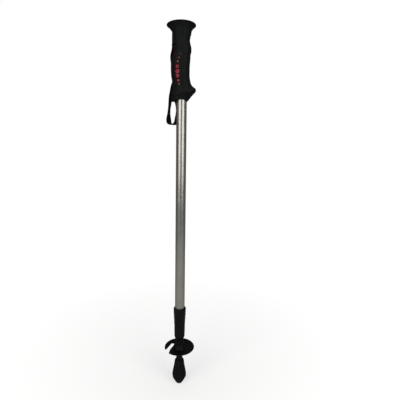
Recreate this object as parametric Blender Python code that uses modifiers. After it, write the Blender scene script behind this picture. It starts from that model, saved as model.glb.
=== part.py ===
"""A three-section telescopic ski pole with twist locks, pushed together to its shortest length.

Metres, +Z up along the pole. Heights below are measured from the ground under the rubber foot; the empty
"ground" carries them down, so that the world's origin is in the middle of the hand hold.
-X is the palm side of the grip, +X the finger side.
"""

import math

import bmesh
import bpy
import numpy as np
from mathutils import Matrix, Vector

MM = 0.001

# Clearances
REST_GAP = 0.3 * MM  # between pieces that are pressed, glued or laid together
SLIDE_GAP = 0.3 * MM  # between a tube and the bore that it slides in

# Overall
COLLAPSED_LENGTH = 652.3 * MM

# Tubes
UPPER_TUBE_RADIUS = 9.0 * MM
TUBE_WALL = 0.7 * MM
MIDDLE_TUBE_RADIUS = UPPER_TUBE_RADIUS - TUBE_WALL - SLIDE_GAP
LOWER_TUBE_RADIUS = MIDDLE_TUBE_RADIUS - TUBE_WALL - SLIDE_GAP
NESTING_STEP = 78.0 * MM  # each tube's top lies this far under the top of the one outside it

# Collars
COLLAR_LENGTH = 29.8 * MM
COLLAR_LIP = 2.7 * MM  # the inward lip that a tube's end stands on
UPPER_COLLAR_WALL = 1.1 * MM  # thickness over its sleeve at the collar's lower end
UPPER_COLLAR_FLARE = 1.05 * MM  # more radius at its top
MIDDLE_COLLAR_WALL = 1.4 * MM  # thickness over its sleeve between the bands
MIDDLE_COLLAR_SWELL = 0.5 * MM  # more radius at its top band
MIDDLE_COLLAR_CHAMFER = 1.0 * MM  # less radius at its lower edge
COLLAR_ROUNDING = 0.4 * MM
COLLAR_FLUTES = 16
COLLAR_FLUTE_DEPTH = 0.25 * MM

# Twist locks
SCREW_RADII = {"middle": 3.0 * MM, "lower": 2.5 * MM}
NUT_ACROSS_FLATS = {"middle": 10.0 * MM, "lower": 8.0 * MM}
NUT_HEIGHT = 4.0 * MM
PLUG_DEPTH = 16.0 * MM
PLUG_FLANGE = 2.0 * MM
PLUG_SETBACK = 0.2 * MM  # of the flange from the tube's outside
SCREW_DEPTH = 12.0 * MM  # how far the screw goes into its plug
CONE_LENGTH = 8.0 * MM
CONE_WALL = 1.0 * MM  # at the cone's thin end
CONE_TRAVEL = 4.0 * MM  # four turns of a 1 mm thread
SEAT_GAP = 0.2 * MM  # left between cone and shell when the cone has travelled all the way
SHELL_LENGTH = 26.0 * MM
SHELL_HEAD = 8.0 * MM
SHELL_LIP = 1.4 * MM  # thickness of the shell's fingers at their mouth
SHELL_SLIT = 1.2 * MM
SHELL_RIBS = 2

# Lower end
FERRULE_SHOULDER = 92.0 * MM  # height where the lower tube starts
FERRULE_SPIGOT = 30.0 * MM  # length inside the lower tube
FERRULE_RADIUS = 7.2 * MM
THREAD_RADIUS = 6.2 * MM
NECK_RADIUS = 5.95 * MM
NOSE_RADIUS = 4.9 * MM
NOSE_HEIGHT = 17.5 * MM
HOLDER_RADIUS = 3.6 * MM
HOLDER_WALL = 1.1 * MM
HOLDER_LENGTH = 15.0 * MM
TIP_RADIUS = 2.2 * MM
TIP_LENGTH = 14.5 * MM
TIP_CUP = 1.2 * MM
WASHER_THICKNESS = 1.2 * MM
WASHER_RADIUS = 4.8 * MM

# Basket
BASKET_RADIUS = 27.9 * MM
BASKET_HEIGHT = 73.0 * MM  # mid-plane of the rim
BASKET_SHEET = 1.7 * MM
BASKET_DISH = 0.9 * MM  # how much lower the disc lies at the hub than at the rim
BASKET_EDGE = 0.6 * MM
HUB_TOP = 87.6 * MM
HUB_BOTTOM = 62.5 * MM
HUB_RADIUS = 8.3 * MM  # under the disc
HUB_FLARE = (0.8 * MM, 1.4 * MM, 3.0 * MM)  # more radius than the ferrule's at quarters of the way down
CLIP_OFFSET = 15.6 * MM  # from the pole's axis to the middle line of the clip slot
CLIP_WIDTH = 7.0 * MM
CLIP_MOUTH = 14.0 * MM
CLIP_INNER_END = -6.0 * MM
CLIP_FUNNEL = 15.0 * MM  # where the mouth starts to widen
CLIP_TURN = math.radians(18.0)

# Rubber foot
FOOT_HEIGHT = 48.0 * MM
FOOT_SOLE = 8.0 * MM  # rubber under the washer
FOOT_FLUTES = 12
FLUTE_DEPTH = 0.9 * MM
FLUTES_END = 6.0 * MM  # plain band under the foot's upper edge
FLUTES_FADE = 12.0 * MM  # height in which the flutes die out
FOOT_PROFILE = (  # share of the foot's height and radius in millimetres, from the sole to the top
    (0.0, 3.8), (0.015, 5.6), (0.05, 7.7), (0.117, 10.0), (0.219, 12.0), (0.313, 13.0), (0.406, 13.2),
    (0.51, 12.5), (0.667, 11.0), (0.833, 9.5), (0.942, 8.8), (0.983, 8.1), (1.0, 7.1),
)
SOLE_RING = (4.4 * MM, 5.6 * MM, 1.8 * MM)  # inner radius, outer radius and depth of the tread groove

# Grip
GRIP_LENGTH = 123.4 * MM  # from the middle of its lower edge to the pommel's rim
HAND_HOLD = 59.8 * MM  # from the grip's lower edge to the middle of the hand hold
CORE_WALL = 1.4 * MM
CORE_INSET = 3.8 * MM  # the core starts this far above the cover's lower edge
CORE_BUSH = 10.0 * MM  # the upper tube ends this far under the pommel's rim
CAP_THICKNESS = 3.4 * MM
CAP_RADIUS = 24.85 * MM  # towards palm and fingers
CAP_SIDE = 20.3 * MM  # towards the sides
CAP_OFFSET = -1.45 * MM
CAP_EDGE = 1.8 * MM
CAP_STEM = 20.0 * MM
FINGER_BEND = 6.0 * MM  # how softly the level palm side turns into the rising finger side
GRIP_STATIONS = (
    # share of the length, rise towards the fingers, and reach in millimetres to palm, fingers and each side
    (0.000, 0.12, 18.4, 10.8, 11.0),
    (0.038, 0.25, 18.9, 20.5, 11.8),
    (0.080, 0.33, 18.3, 26.3, 13.0),
    (0.120, 0.28, 17.0, 24.6, 12.7),
    (0.153, 0.22, 15.9, 21.2, 12.3),
    (0.193, 0.15, 15.2, 17.9, 12.3),
    (0.234, 0.08, 15.6, 15.8, 12.6),
    (0.282, 0.03, 16.9, 14.5, 13.0),
    (0.351, 0.00, 18.3, 13.4, 13.4),
    (0.455, 0.00, 19.0, 13.4, 13.6),
    (0.561, 0.00, 18.3, 14.3, 13.4),
    (0.617, 0.00, 16.3, 14.6, 13.2),
    (0.670, 0.00, 14.2, 16.0, 13.1),
    (0.708, 0.00, 13.6, 16.0, 12.9),
    (0.758, 0.00, 13.9, 14.5, 12.4),
    (0.809, 0.00, 14.9, 13.4, 12.3),
    (0.860, 0.00, 15.5, 14.2, 12.7),
    (0.892, 0.00, 16.2, 15.4, 13.6),
    (0.925, 0.00, 17.8, 16.3, 14.6),
    (0.962, 0.00, 21.8, 19.3, 17.2),
    (0.986, 0.00, 25.4, 22.5, 19.3),
    (1.000, 0.00, 26.2, 23.3, 19.8),
)
GRIP_RINGS = 34
GRIP_SIDES = 32
STUD_BASE = 3.0 * MM  # distance from the X-Z plane where a stud starts, inside the core
DOTS = (  # share of the grip's length, distance towards the fingers and radius, in millimetres
    (0.606, -1.0, 0.9), (0.558, -3.4, 1.3), (0.509, -5.5, 1.7), (0.445, -6.3, 2.8),
    (0.383, -6.0, 3.4), (0.326, -5.5, 3.0), (0.264, -4.4, 2.1), (0.218, -3.2, 1.6),
)
PALM_RIBS = 4
PALM_RIB_SHARES = (0.607, 0.698)
PALM_RIB_SIZE = (1.5 * MM, 5.0 * MM)
PALM_RIB_TURN = math.radians(38.0)  # round the pole, from the palm's middle

# Strap
WEBBING_WIDTH = 14.0 * MM
WEBBING_THICKNESS = 1.2 * MM
POCKET_TOP = 8.0 * MM  # below the pommel's rim
WEDGE_HEIGHT = 22.0 * MM
WEDGE_REACH = 17.2 * MM  # from the pole's axis to the middle of the wedge's outer face
WEDGE_ROUNDING = 13.7 * MM  # the face's other half axis, as it curves back to the sides
WEDGE_CHAMFER = 1.6 * MM
STRAP_SLOT = 4.3 * MM  # height of the way out under the wedge
HINGE_REACH = 15.2 * MM  # from the pole's axis to the fold that the strap swings on
# Both legs lie on the palm side on their way round to the far side: turn from the palm's middle in
# degrees, and millimetres below the fold.
STRAP_WRAP = (
    (0.0, 2.0), (0.0, 5.0), (10.0, 9.5), (31.0, 17.0), (46.0, 26.0), (52.0, 36.0), (54.0, 45.0), (55.0, 53.0),
)
STRAP_CUP = 0.8 * MM  # how far the webbing's edges bend down to the grip, where it lies on it
# Where the webbing hangs free: down its outer leg, round, and up its inner leg. Millimetres from the
# fold's axis, then the direction that the webbing's width points in.
STRAP_LOOP = (
    ((0.2, 14.6, -61.9), (0.75, 0.66, 0.0)),
    ((-3.0, 15.0, -71.9), (0.55, 0.83, 0.0)),
    ((-6.6, 16.0, -81.9), (0.28, 0.96, 0.0)),
    ((-7.9, 16.5, -92.9), (0.17, 0.98, 0.0)),
    ((-9.0, 16.9, -101.4), (0.12, 0.99, 0.0)),
    ((-9.6, 17.0, -110.9), (0.24, 0.97, 0.0)),
    ((-9.8, 17.0, -119.4), (0.48, 0.87, 0.02)),
    ((-8.4, 16.4, -126.0), (0.49, 0.87, 0.06)),
    ((-1.6, 12.4, -128.8), (0.49, 0.87, 0.06)),
    ((4.9, 8.8, -125.8), (0.49, 0.87, 0.03)),
    ((6.6, 7.9, -119.4), (0.48, 0.87, 0.0)),
    ((7.1, 9.8, -112.0), (0.36, 0.93, 0.0)),
    ((7.0, 12.4, -103.4), (0.30, 0.95, 0.0)),
    ((5.0, 15.8, -92.9), (0.34, 0.94, 0.0)),
    ((2.2, 15.8, -81.9), (0.48, 0.87, 0.0)),
    ((1.6, 13.6, -71.9), (0.60, 0.80, 0.0)),
    ((2.2, 12.4, -61.9), (0.75, 0.66, 0.0)),
)
STRAP_STEPS = 3  # sections between two points of the route
FOLD_STEPS = 5  # sections round the fold at the top

# Heights that follow from the sizes above
GRIP_TOP = COLLAPSED_LENGTH - CAP_THICKNESS - REST_GAP
GRIP_BOTTOM = GRIP_TOP - GRIP_LENGTH
HAND_HEIGHT = GRIP_BOTTOM + HAND_HOLD
MIDDLE_COLLAR_BOTTOM = FERRULE_SHOULDER + 2 * REST_GAP
UPPER_COLLAR_BOTTOM = MIDDLE_COLLAR_BOTTOM + COLLAR_LENGTH + REST_GAP
UPPER_TUBE_TOP = GRIP_TOP - CORE_BUSH
MIDDLE_TUBE_TOP = UPPER_TUBE_TOP - CAP_STEM - NESTING_STEP
LOWER_TUBE_TOP = MIDDLE_TUBE_TOP - NESTING_STEP
WASHER_BOTTOM = FOOT_SOLE + REST_GAP
TIP_BOTTOM = WASHER_BOTTOM + WASHER_THICKNESS + REST_GAP
HOLDER_BOTTOM = TIP_BOTTOM + 4.0 * MM
CORE_RADIUS = UPPER_TUBE_RADIUS + REST_GAP + CORE_WALL
WEDGE_TOP = GRIP_TOP - POCKET_TOP
WEDGE_BOTTOM = WEDGE_TOP - WEDGE_HEIGHT
FOLD_RADIUS = WEBBING_THICKNESS / 2 + REST_GAP  # of the webbing's middle where it folds over
HINGE_HEIGHT = WEDGE_BOTTOM - REST_GAP - FOLD_RADIUS - WEBBING_THICKNESS / 2

OUTSIDE = 60.0 * MM  # longer than anything a cutter has to pass

# Facets round each kind of turned piece
TUBE_FACETS = 36
LOCK_FACETS = 24
STUD_FACETS = 9


def clear_scene():
    for thing in list(bpy.data.objects):
        bpy.data.objects.remove(thing, do_unlink=True)
    for group in list(bpy.data.collections):
        bpy.data.collections.remove(group)


def make_collection(name):
    group = bpy.data.collections.new(name)
    bpy.context.scene.collection.children.link(group)
    return group


def make_material(name, colour, roughness, metallic=0.0):
    material = bpy.data.materials.new(name)
    material.use_nodes = True
    shader = material.node_tree.nodes["Principled BSDF"]
    shader.inputs["Base Color"].default_value = (*colour, 1.0)
    shader.inputs["Roughness"].default_value = roughness
    shader.inputs["Metallic"].default_value = metallic
    return material


clear_scene()
POLE = make_collection("ski_pole")
CUTTERS = make_collection("cutters")
CUTTERS.hide_render = True


def make_empty(name, location, parent=None):
    empty = bpy.data.objects.new(name, None)
    empty.empty_display_size = 0.02
    empty.location = location
    empty.parent = parent
    POLE.objects.link(empty)
    return empty


def add_object(name, mesh, parent, location=(0.0, 0.0, 0.0), group=None):
    """Links a new object for the mesh; a cutter is only drawn as wire and never rendered."""
    thing = bpy.data.objects.new(name, mesh)
    thing.parent = parent
    thing.location = location
    (group or POLE).objects.link(thing)
    if group is not None:
        thing.hide_render = True
        thing.display_type = "WIRE"
    return thing


def mesh_from(name, builder):
    """A mesh filled by builder(bm), with its faces pointing out."""
    mesh = bpy.data.meshes.new(name)
    bm = bmesh.new()
    builder(bm)
    bmesh.ops.recalc_face_normals(bm, faces=bm.faces)
    bm.to_mesh(mesh)
    bm.free()
    return mesh


def turned(name, profile, parent, segments=TUBE_FACETS, height=0.0, group=None):
    """A piece turned round the pole's axis.

    The profile is a list of (radius, height), down the outer side and back up the inner side. It is closed
    where the piece has a bore, and starts and ends on the axis where it has none.
    """
    solid = profile[0][0] == 0.0
    mesh = bpy.data.meshes.new(name)
    points = [(radius, 0.0, z) for radius, z in profile]
    edges = [(i, i + 1) for i in range(len(points) - 1)]
    if not solid:
        edges.append((len(points) - 1, 0))
    mesh.from_pydata(points, edges, [])
    thing = add_object(name, mesh, parent, (0.0, 0.0, height), group)
    screw = thing.modifiers.new("turn", "SCREW")
    screw.axis = "Z"
    screw.steps = screw.render_steps = segments
    screw.use_merge_vertices = True
    screw.merge_threshold = 0.00001
    screw.use_smooth_shade = False
    return thing


def cylinder(name, radius, bottom, top, parent, segments=TUBE_FACETS, group=None):
    profile = [(0.0, top), (radius, top), (radius, bottom), (0.0, bottom)]
    return turned(name, profile, parent, segments, group=group)


def tube(name, outer, wall, bottom, top, parent):
    inner = outer - wall
    return turned(name, [(outer, top), (outer, bottom), (inner, bottom), (inner, top)], parent)


def block(name, size, centre, parent, turn=None, group=None):
    """A box of the given size about its centre, turned by a matrix."""
    place = Matrix.Translation(centre) @ (turn or Matrix.Identity(4)) @ Matrix.Diagonal((*size, 1.0))
    mesh = mesh_from(name, lambda bm: bmesh.ops.create_cube(bm, size=1.0, matrix=place))
    return add_object(name, mesh, parent, group=group)


def prism(name, outline, low, high, parent, group=None):
    """A flat outline in the X-Z plane, extruded along Y from low to high."""

    def build(bm):
        face = bm.faces.new([bm.verts.new((x, low, z)) for x, z in outline])
        made = bmesh.ops.extrude_face_region(bm, geom=[face])["geom"]
        moved = [part for part in made if isinstance(part, bmesh.types.BMVert)]
        bmesh.ops.translate(bm, verts=moved, vec=(0.0, high - low, 0.0))

    return add_object(name, mesh_from(name, build), parent, group=group)


def loft(name, rings, parent, group=None, endless=False):
    """A closed skin over rings of equally many points: capped at both ends, or led back to its start."""

    def build(bm):
        made = [[bm.verts.new(point) for point in ring] for ring in rings]
        count = len(made[0])
        for low, high in zip(made, made[1:] + made[:1] if endless else made[1:]):
            for i in range(count):
                j = (i + 1) % count
                bm.faces.new((low[i], low[j], high[j], high[i]))
        if not endless:
            bm.faces.new(list(reversed(made[0])))
            bm.faces.new(made[-1])

    return add_object(name, mesh_from(name, build), parent, group=group)


def combine(thing, other, operation):
    step = thing.modifiers.new(operation.lower(), "BOOLEAN")
    step.operation = operation
    step.solver = "EXACT"
    if isinstance(other, bpy.types.Collection):
        step.operand_type = "COLLECTION"
        step.collection = other
    else:
        step.object = other


def cut(thing, cutter):
    combine(thing, cutter, "DIFFERENCE")


def join(thing, other):
    combine(thing, other, "UNION")


def finish(thing, material, smooth_angle=35.0):
    thing.data.materials.clear()
    thing.data.materials.append(material)
    thing.data.shade_smooth()
    thing.data.set_sharp_from_angle(angle=math.radians(smooth_angle))
    return thing


def ease(positions, values, at):
    """Values between stations by monotone cubic steps, which never overshoot a station."""
    positions, values, at = (np.asarray(column, float) for column in (positions, values, at))
    widths = np.diff(positions)
    slopes = np.diff(values) / widths
    tangents = np.zeros(len(values))
    rising = slopes[:-1] * slopes[1:] > 0
    before, after = slopes[:-1][rising], slopes[1:][rising]
    tangents[1:-1][rising] = 2 * before * after / (before + after)
    tangents[0], tangents[-1] = slopes[0], slopes[-1]
    index = np.clip(np.searchsorted(positions, at, side="right") - 1, 0, len(widths) - 1)
    width = widths[index]
    t = (at - positions[index]) / width
    start, end = values[index], values[index + 1]
    return (
        start * (1 + 2 * t) * (1 - t) ** 2
        + end * t * t * (3 - 2 * t)
        + width * t * (1 - t) * (tangents[index] * (1 - t) - tangents[index + 1] * t)
    )


# Materials

RED_PLASTIC = make_material("red_plastic", (0.35, 0.02, 0.03), 0.45)
SOFT_BLACK = make_material("soft_black_rubber", (0.012, 0.013, 0.012), 0.62)
HARD_BLACK = make_material("hard_black_plastic", (0.010, 0.010, 0.011), 0.42)
WEBBING = make_material("black_webbing", (0.012, 0.012, 0.013), 0.85)
ALUMINIUM = make_material("satin_aluminium", (0.56, 0.55, 0.52), 0.32, 1.0)
STEEL = make_material("zinc_plated_steel", (0.50, 0.50, 0.48), 0.35, 1.0)
CARBIDE = make_material("tungsten_carbide", (0.20, 0.20, 0.21), 0.30, 1.0)
NYLON = make_material("natural_nylon", (0.62, 0.60, 0.52), 0.50)

# The tree of moving sections

GROUND = make_empty("ground", (0.0, 0.0, -HAND_HEIGHT))
UPPER = make_empty("upper_section", (0.0, 0.0, 0.0), GROUND)
MIDDLE = make_empty("middle_section", (0.0, 0.0, 0.0), UPPER)
LOWER = make_empty("lower_section", (0.0, 0.0, 0.0), MIDDLE)
STRAP_HINGE = make_empty("strap_hinge", (-HINGE_REACH, 0.0, HINGE_HEIGHT), UPPER)


# Grip


def grip_reach(share):
    """Height of a section at the palm, its rise, and its reach to palm, fingers and side, at a share."""
    shares, rises, palms, fingers, sides = zip(*GRIP_STATIONS)
    palm, finger, side = (float(ease(shares, column, share)) * MM for column in (palms, fingers, sides))
    return GRIP_BOTTOM + share * GRIP_LENGTH, float(ease(shares, rises, share)), palm, finger, side


def finger_rise(x):
    """Zero on the palm side and x on the finger side, with a soft bend between them."""
    return (x + math.hypot(x, FINGER_BEND)) / 2


def grip_section(share):
    """One ring of the grip: two half ellipses that meet at the sides, rising towards the fingers."""
    height, rise, palm, finger, side = grip_reach(share)
    ring = []
    for i in range(GRIP_SIDES):
        angle = 2 * math.pi * i / GRIP_SIDES
        reach = finger if math.cos(angle) > 0 else palm
        x = reach * math.cos(angle)
        ring.append((x, side * math.sin(angle), height + rise * finger_rise(x)))
    return ring


def grip_side_depth(share, x):
    """How far the grip's surface lies from the X-Z plane."""
    _, _, palm, finger, side = grip_reach(share)
    return side * math.sqrt(1 - (x / (finger if x > 0 else palm)) ** 2)


def grip_ring_shares():
    """Ring places, closer together round the finger rest and under the pommel's rim."""
    even = np.linspace(0.0, 1.0, GRIP_RINGS)
    return even - 0.045 * np.sin(4 * np.pi * even) / (2 * np.pi)


def stud(name, radius, base, top, parent, group, extra=0.0):
    """A round stud along +Y from base to top; its end is a low ring round a dimple.

    With extra it is the plain window cutter for that stud, which runs out through the cover.
    """
    if extra:
        profile = [(0.0, OUTSIDE), (radius + extra, OUTSIDE), (radius + extra, base), (0.0, base)]
    else:
        crown = 0.16 * radius
        profile = [
            (0.0, top - crown), (0.45 * radius, top - 0.5 * crown), (0.70 * radius, top),
            (radius, top - crown), (radius, base), (0.0, base),
        ]
    return turned(name, profile, parent, STUD_FACETS, group=group)


def place_dots(kind, group, extra=0.0):
    """Studs, or their windows, on both sides of the grip."""
    for number, (share, across, radius) in enumerate(DOTS):
        x, radius = across * MM, radius * MM
        height, rise, *_ = grip_reach(share)
        edge = abs(x) + 0.8 * radius
        top = grip_side_depth(share, -edge) - 0.1 * MM
        for side in (1, -1):
            thing = stud(f"{kind}_{number}_{side}", radius, STUD_BASE, top, UPPER, group, extra)
            thing.location = (x, 0.0, height + rise * finger_rise(x))
            thing.rotation_euler = (math.radians(-90.0 * side), 0.0, 0.0)


def place_palm_ribs(kind, group, extra=0.0):
    """Short slanted bars on both flanks of the palm, or their windows."""
    width, length = PALM_RIB_SIZE
    for number, share in enumerate(np.linspace(*PALM_RIB_SHARES, PALM_RIBS)):
        height, _, palm, _, side = grip_reach(share)
        for flank in (1, -1):
            turn = math.pi + flank * PALM_RIB_TURN
            direction = Vector((math.cos(turn), math.sin(turn), 0.0))
            surface = 1 / math.hypot(direction.x / palm, direction.y / side)
            inner = CORE_RADIUS - 0.6 * MM
            outer = OUTSIDE if extra else surface - 0.35 * MM
            size = (outer - inner, width + 2 * extra, length + 2 * extra)
            centre = direction * (inner + outer) / 2 + Vector((0.0, 0.0, height))
            slant = Matrix.Rotation(turn, 4, "Z") @ Matrix.Rotation(math.radians(40.0 * flank), 4, "X")
            block(f"{kind}_{number}_{flank}", size, centre, UPPER, slant, group)


def make_group(name):
    group = bpy.data.collections.new(name)
    CUTTERS.children.link(group)
    group.hide_render = True
    return group


def make_grip():
    core_bottom = GRIP_BOTTOM + CORE_INSET
    core_top = GRIP_TOP - REST_GAP
    studs, windows = make_group("studs"), make_group("windows")
    place_dots("stud", studs)
    place_palm_ribs("rib", studs)
    place_dots("window", windows, REST_GAP)
    place_palm_ribs("rib_window", windows, REST_GAP)

    core = cylinder("grip_core", CORE_RADIUS, core_bottom, core_top, UPPER)
    join(core, studs)
    bore = UPPER_TUBE_RADIUS + REST_GAP
    tube_bore = cylinder("core_bore", bore, core_bottom - MM, core_top + MM, UPPER, group=CUTTERS)
    cut(core, tube_bore)
    finish(core, RED_PLASTIC)

    cover = loft("grip_cover", [grip_section(share) for share in grip_ring_shares()], UPPER)
    seat = CORE_RADIUS + REST_GAP
    low, step, high = GRIP_BOTTOM - OUTSIDE, core_bottom - REST_GAP, GRIP_TOP + MM
    core_seat = turned(
        "core_seat", [(0.0, high), (seat, high), (seat, step), (bore, step), (bore, low), (0.0, low)],
        UPPER, group=CUTTERS,
    )
    cut(cover, core_seat)
    pocket_width = WEBBING_WIDTH + 4 * REST_GAP
    pocket_low, pocket_high = HINGE_HEIGHT - STRAP_SLOT / 2, WEDGE_TOP + REST_GAP
    pocket = block(
        "strap_pocket", (OUTSIDE - CORE_RADIUS, pocket_width, pocket_high - pocket_low),
        (-(OUTSIDE + CORE_RADIUS) / 2, 0.0, (pocket_low + pocket_high) / 2), UPPER, group=CUTTERS,
    )
    cut(cover, pocket)
    cut(cover, windows)
    finish(cover, SOFT_BLACK)

    stem = UPPER_TUBE_RADIUS - TUBE_WALL - REST_GAP
    profile = [(0.0, CAP_THICKNESS)]
    for i in range(5):
        out, up = math.sin(math.pi / 8 * i), math.cos(math.pi / 8 * i)
        profile.append((CAP_RADIUS - CAP_EDGE * (1 - out), CAP_THICKNESS - CAP_EDGE * (1 - up)))
    profile += [(CAP_RADIUS, COLLAR_ROUNDING), (CAP_RADIUS - COLLAR_ROUNDING, 0.0), (0.0, 0.0)]
    cap = turned("pommel_cap", profile, UPPER)
    cap.location = (CAP_OFFSET, 0.0, COLLAPSED_LENGTH - CAP_THICKNESS)
    cap.scale = (1.0, CAP_SIDE / CAP_RADIUS, 1.0)
    reach = GRIP_TOP - UPPER_TUBE_TOP + CAP_STEM
    plug = turned(
        "cap_stem", [(0.0, MM), (stem, MM), (stem, -reach), (0.0, -reach)], UPPER,
        height=COLLAPSED_LENGTH - CAP_THICKNESS, group=CUTTERS,
    )
    join(cap, plug)
    finish(cap, HARD_BLACK)


# Strap and its lock


def make_strap_lock():
    half = WEBBING_WIDTH / 2
    back = CORE_RADIUS + 2 * REST_GAP
    front = back + 2 * WEBBING_THICKNESS
    low, top = WEDGE_BOTTOM + REST_GAP, WEDGE_TOP - 2 * MM
    size, centre = (front - back, 2 * half, top - low), (-(front + back) / 2, 0.0, (top + low) / 2)
    finish(block("strap_end", size, centre, UPPER), WEBBING)

    inner = front + REST_GAP
    blank, chamfer = WEDGE_REACH + 2 * MM, WEDGE_CHAMFER + 2 * MM  # before its face is rounded
    outline = [
        (-inner, WEDGE_TOP), (-blank, WEDGE_TOP), (-blank, WEDGE_BOTTOM + chamfer),
        (chamfer - blank, WEDGE_BOTTOM), (-inner, WEDGE_BOTTOM),
    ]
    wedge = prism("strap_wedge", outline, -half, half, UPPER)
    face = cylinder("wedge_face", WEDGE_REACH, GRIP_BOTTOM, GRIP_TOP, UPPER, 2 * TUBE_FACETS, CUTTERS)
    face.scale = (1.0, WEDGE_ROUNDING / WEDGE_REACH, 1.0)
    combine(wedge, face, "INTERSECT")
    soften = wedge.modifiers.new("edges", "BEVEL")
    soften.width = 0.5 * MM
    soften.segments = 2
    soften.limit_method = "ANGLE"
    finish(wedge, HARD_BLACK)


def catmull(points, steps):
    """A smooth curve through the points, with equally many steps between each two."""
    points = np.asarray(points, float)
    padded = np.vstack([2 * points[0] - points[1], points, 2 * points[-1] - points[-2]])
    made = []
    for i in range(len(points) - 1):
        a, b, c, d = padded[i : i + 4]
        for t in np.arange(steps) / steps:
            square, cube = 2 * a - 5 * b + 4 * c - d, 3 * b - a - 3 * c + d
            made.append(0.5 * (2 * b + (c - a) * t + square * t**2 + cube * t**3))
    made.append(points[-1])
    return np.array(made)


def strap_on_palm(turn, drop, lift):
    """Place on the grip's surface, lifted off it, and the direction across the webbing that lies there."""
    height = HINGE_HEIGHT - drop
    _, _, palm, _, side = grip_reach((height - GRIP_BOTTOM) / GRIP_LENGTH)
    cos, sin = math.cos(turn), math.sin(turn)
    place = (HINGE_REACH - (palm + lift) * cos, (side + lift) * sin, -drop)
    across = np.array(((palm + lift) * sin, (side + lift) * cos, 0.0))
    return place, across / np.linalg.norm(across)


def make_strap():
    """The loop: over the fold, down the outer leg, round, and up the inner leg against the grip."""
    wrap = [(math.radians(turn), drop * MM) for turn, drop in STRAP_WRAP]
    inner_lift = 1.5 * REST_GAP + WEBBING_THICKNESS / 2
    outer_lift = inner_lift + 2 * FOLD_RADIUS
    level = (0.0, 1.0, 0.0)
    route = [((-FOLD_RADIUS, 0.0, 0.0), level, 0.0)]
    route += [(*strap_on_palm(turn, drop, outer_lift), STRAP_CUP) for turn, drop in wrap]
    route += [([value * MM for value in place], across, 0.0) for place, across in STRAP_LOOP]
    route += [(*strap_on_palm(turn, drop, inner_lift), -STRAP_CUP) for turn, drop in reversed(wrap)]
    route += [((FOLD_RADIUS, 0.0, 0.0), level, 0.0)]
    places, widths, cups = zip(*route)
    middle, across = catmull(places, STRAP_STEPS), catmull(widths, STRAP_STEPS)
    cups = catmull([[cup] for cup in cups], STRAP_STEPS).ravel()
    fold = np.arange(1, FOLD_STEPS) * math.pi / FOLD_STEPS
    over = FOLD_RADIUS * np.column_stack([np.cos(fold), np.zeros(len(fold)), np.sin(fold)])
    middle = np.vstack([middle, over])
    across = np.vstack([across, np.tile(level, (len(fold), 1))])
    cups = np.append(cups, np.zeros(len(fold)))

    across /= np.linalg.norm(across, axis=1, keepdims=True)
    normal = np.cross(np.roll(middle, -1, axis=0) - np.roll(middle, 1, axis=0), across)
    normal /= np.linalg.norm(normal, axis=1, keepdims=True)
    half_width, half_thickness = WEBBING_WIDTH / 2, WEBBING_THICKNESS / 2
    corners = ((1, 1), (0, 1), (-1, 1), (-1, -1), (0, -1), (1, -1))  # across the webbing, and through it
    rings = []
    for point, wide, thick, cup in zip(middle, across, normal, cups):
        rings.append([
            point + wide * half_width * a + thick * (half_thickness * b + cup * abs(a)) for a, b in corners
        ])
    finish(loft("wrist_strap", rings, STRAP_HINGE, endless=True), WEBBING)


# Tubes and collars


def make_upper_section():
    start = UPPER_COLLAR_BOTTOM + COLLAR_LIP + REST_GAP
    finish(tube("upper_tube", UPPER_TUBE_RADIUS, TUBE_WALL, start, UPPER_TUBE_TOP, UPPER), ALUMINIUM)
    sleeve = UPPER_TUBE_RADIUS + REST_GAP
    outer = sleeve + UPPER_COLLAR_WALL
    flare = UPPER_COLLAR_FLARE
    lip = MIDDLE_TUBE_RADIUS + SLIDE_GAP
    low, high = UPPER_COLLAR_BOTTOM, UPPER_COLLAR_BOTTOM + COLLAR_LENGTH
    profile = [
        (outer + flare - COLLAR_ROUNDING, high), (outer + flare, high - 2 * COLLAR_ROUNDING),
        (outer + flare, high - 0.15 * COLLAR_LENGTH), (outer + 0.65 * flare, high - 0.5 * COLLAR_LENGTH),
        (outer, high - 0.85 * COLLAR_LENGTH), (outer, low + COLLAR_ROUNDING), (outer - COLLAR_ROUNDING, low),
        (lip, low), (lip, low + COLLAR_LIP), (sleeve, low + COLLAR_LIP), (sleeve, high),
    ]
    finish(turned("upper_collar", profile, UPPER), HARD_BLACK)


def fluted_ring(radius, height, flutes, depth, sides):
    """A ring whose radius dips by depth once for each flute."""
    ring = []
    for i in range(sides):
        angle = 2 * math.pi * i / sides
        dip = depth * (0.5 - 0.5 * math.cos(flutes * angle)) ** 2
        ring.append(((radius - dip) * math.cos(angle), (radius - dip) * math.sin(angle), height))
    return ring


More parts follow.
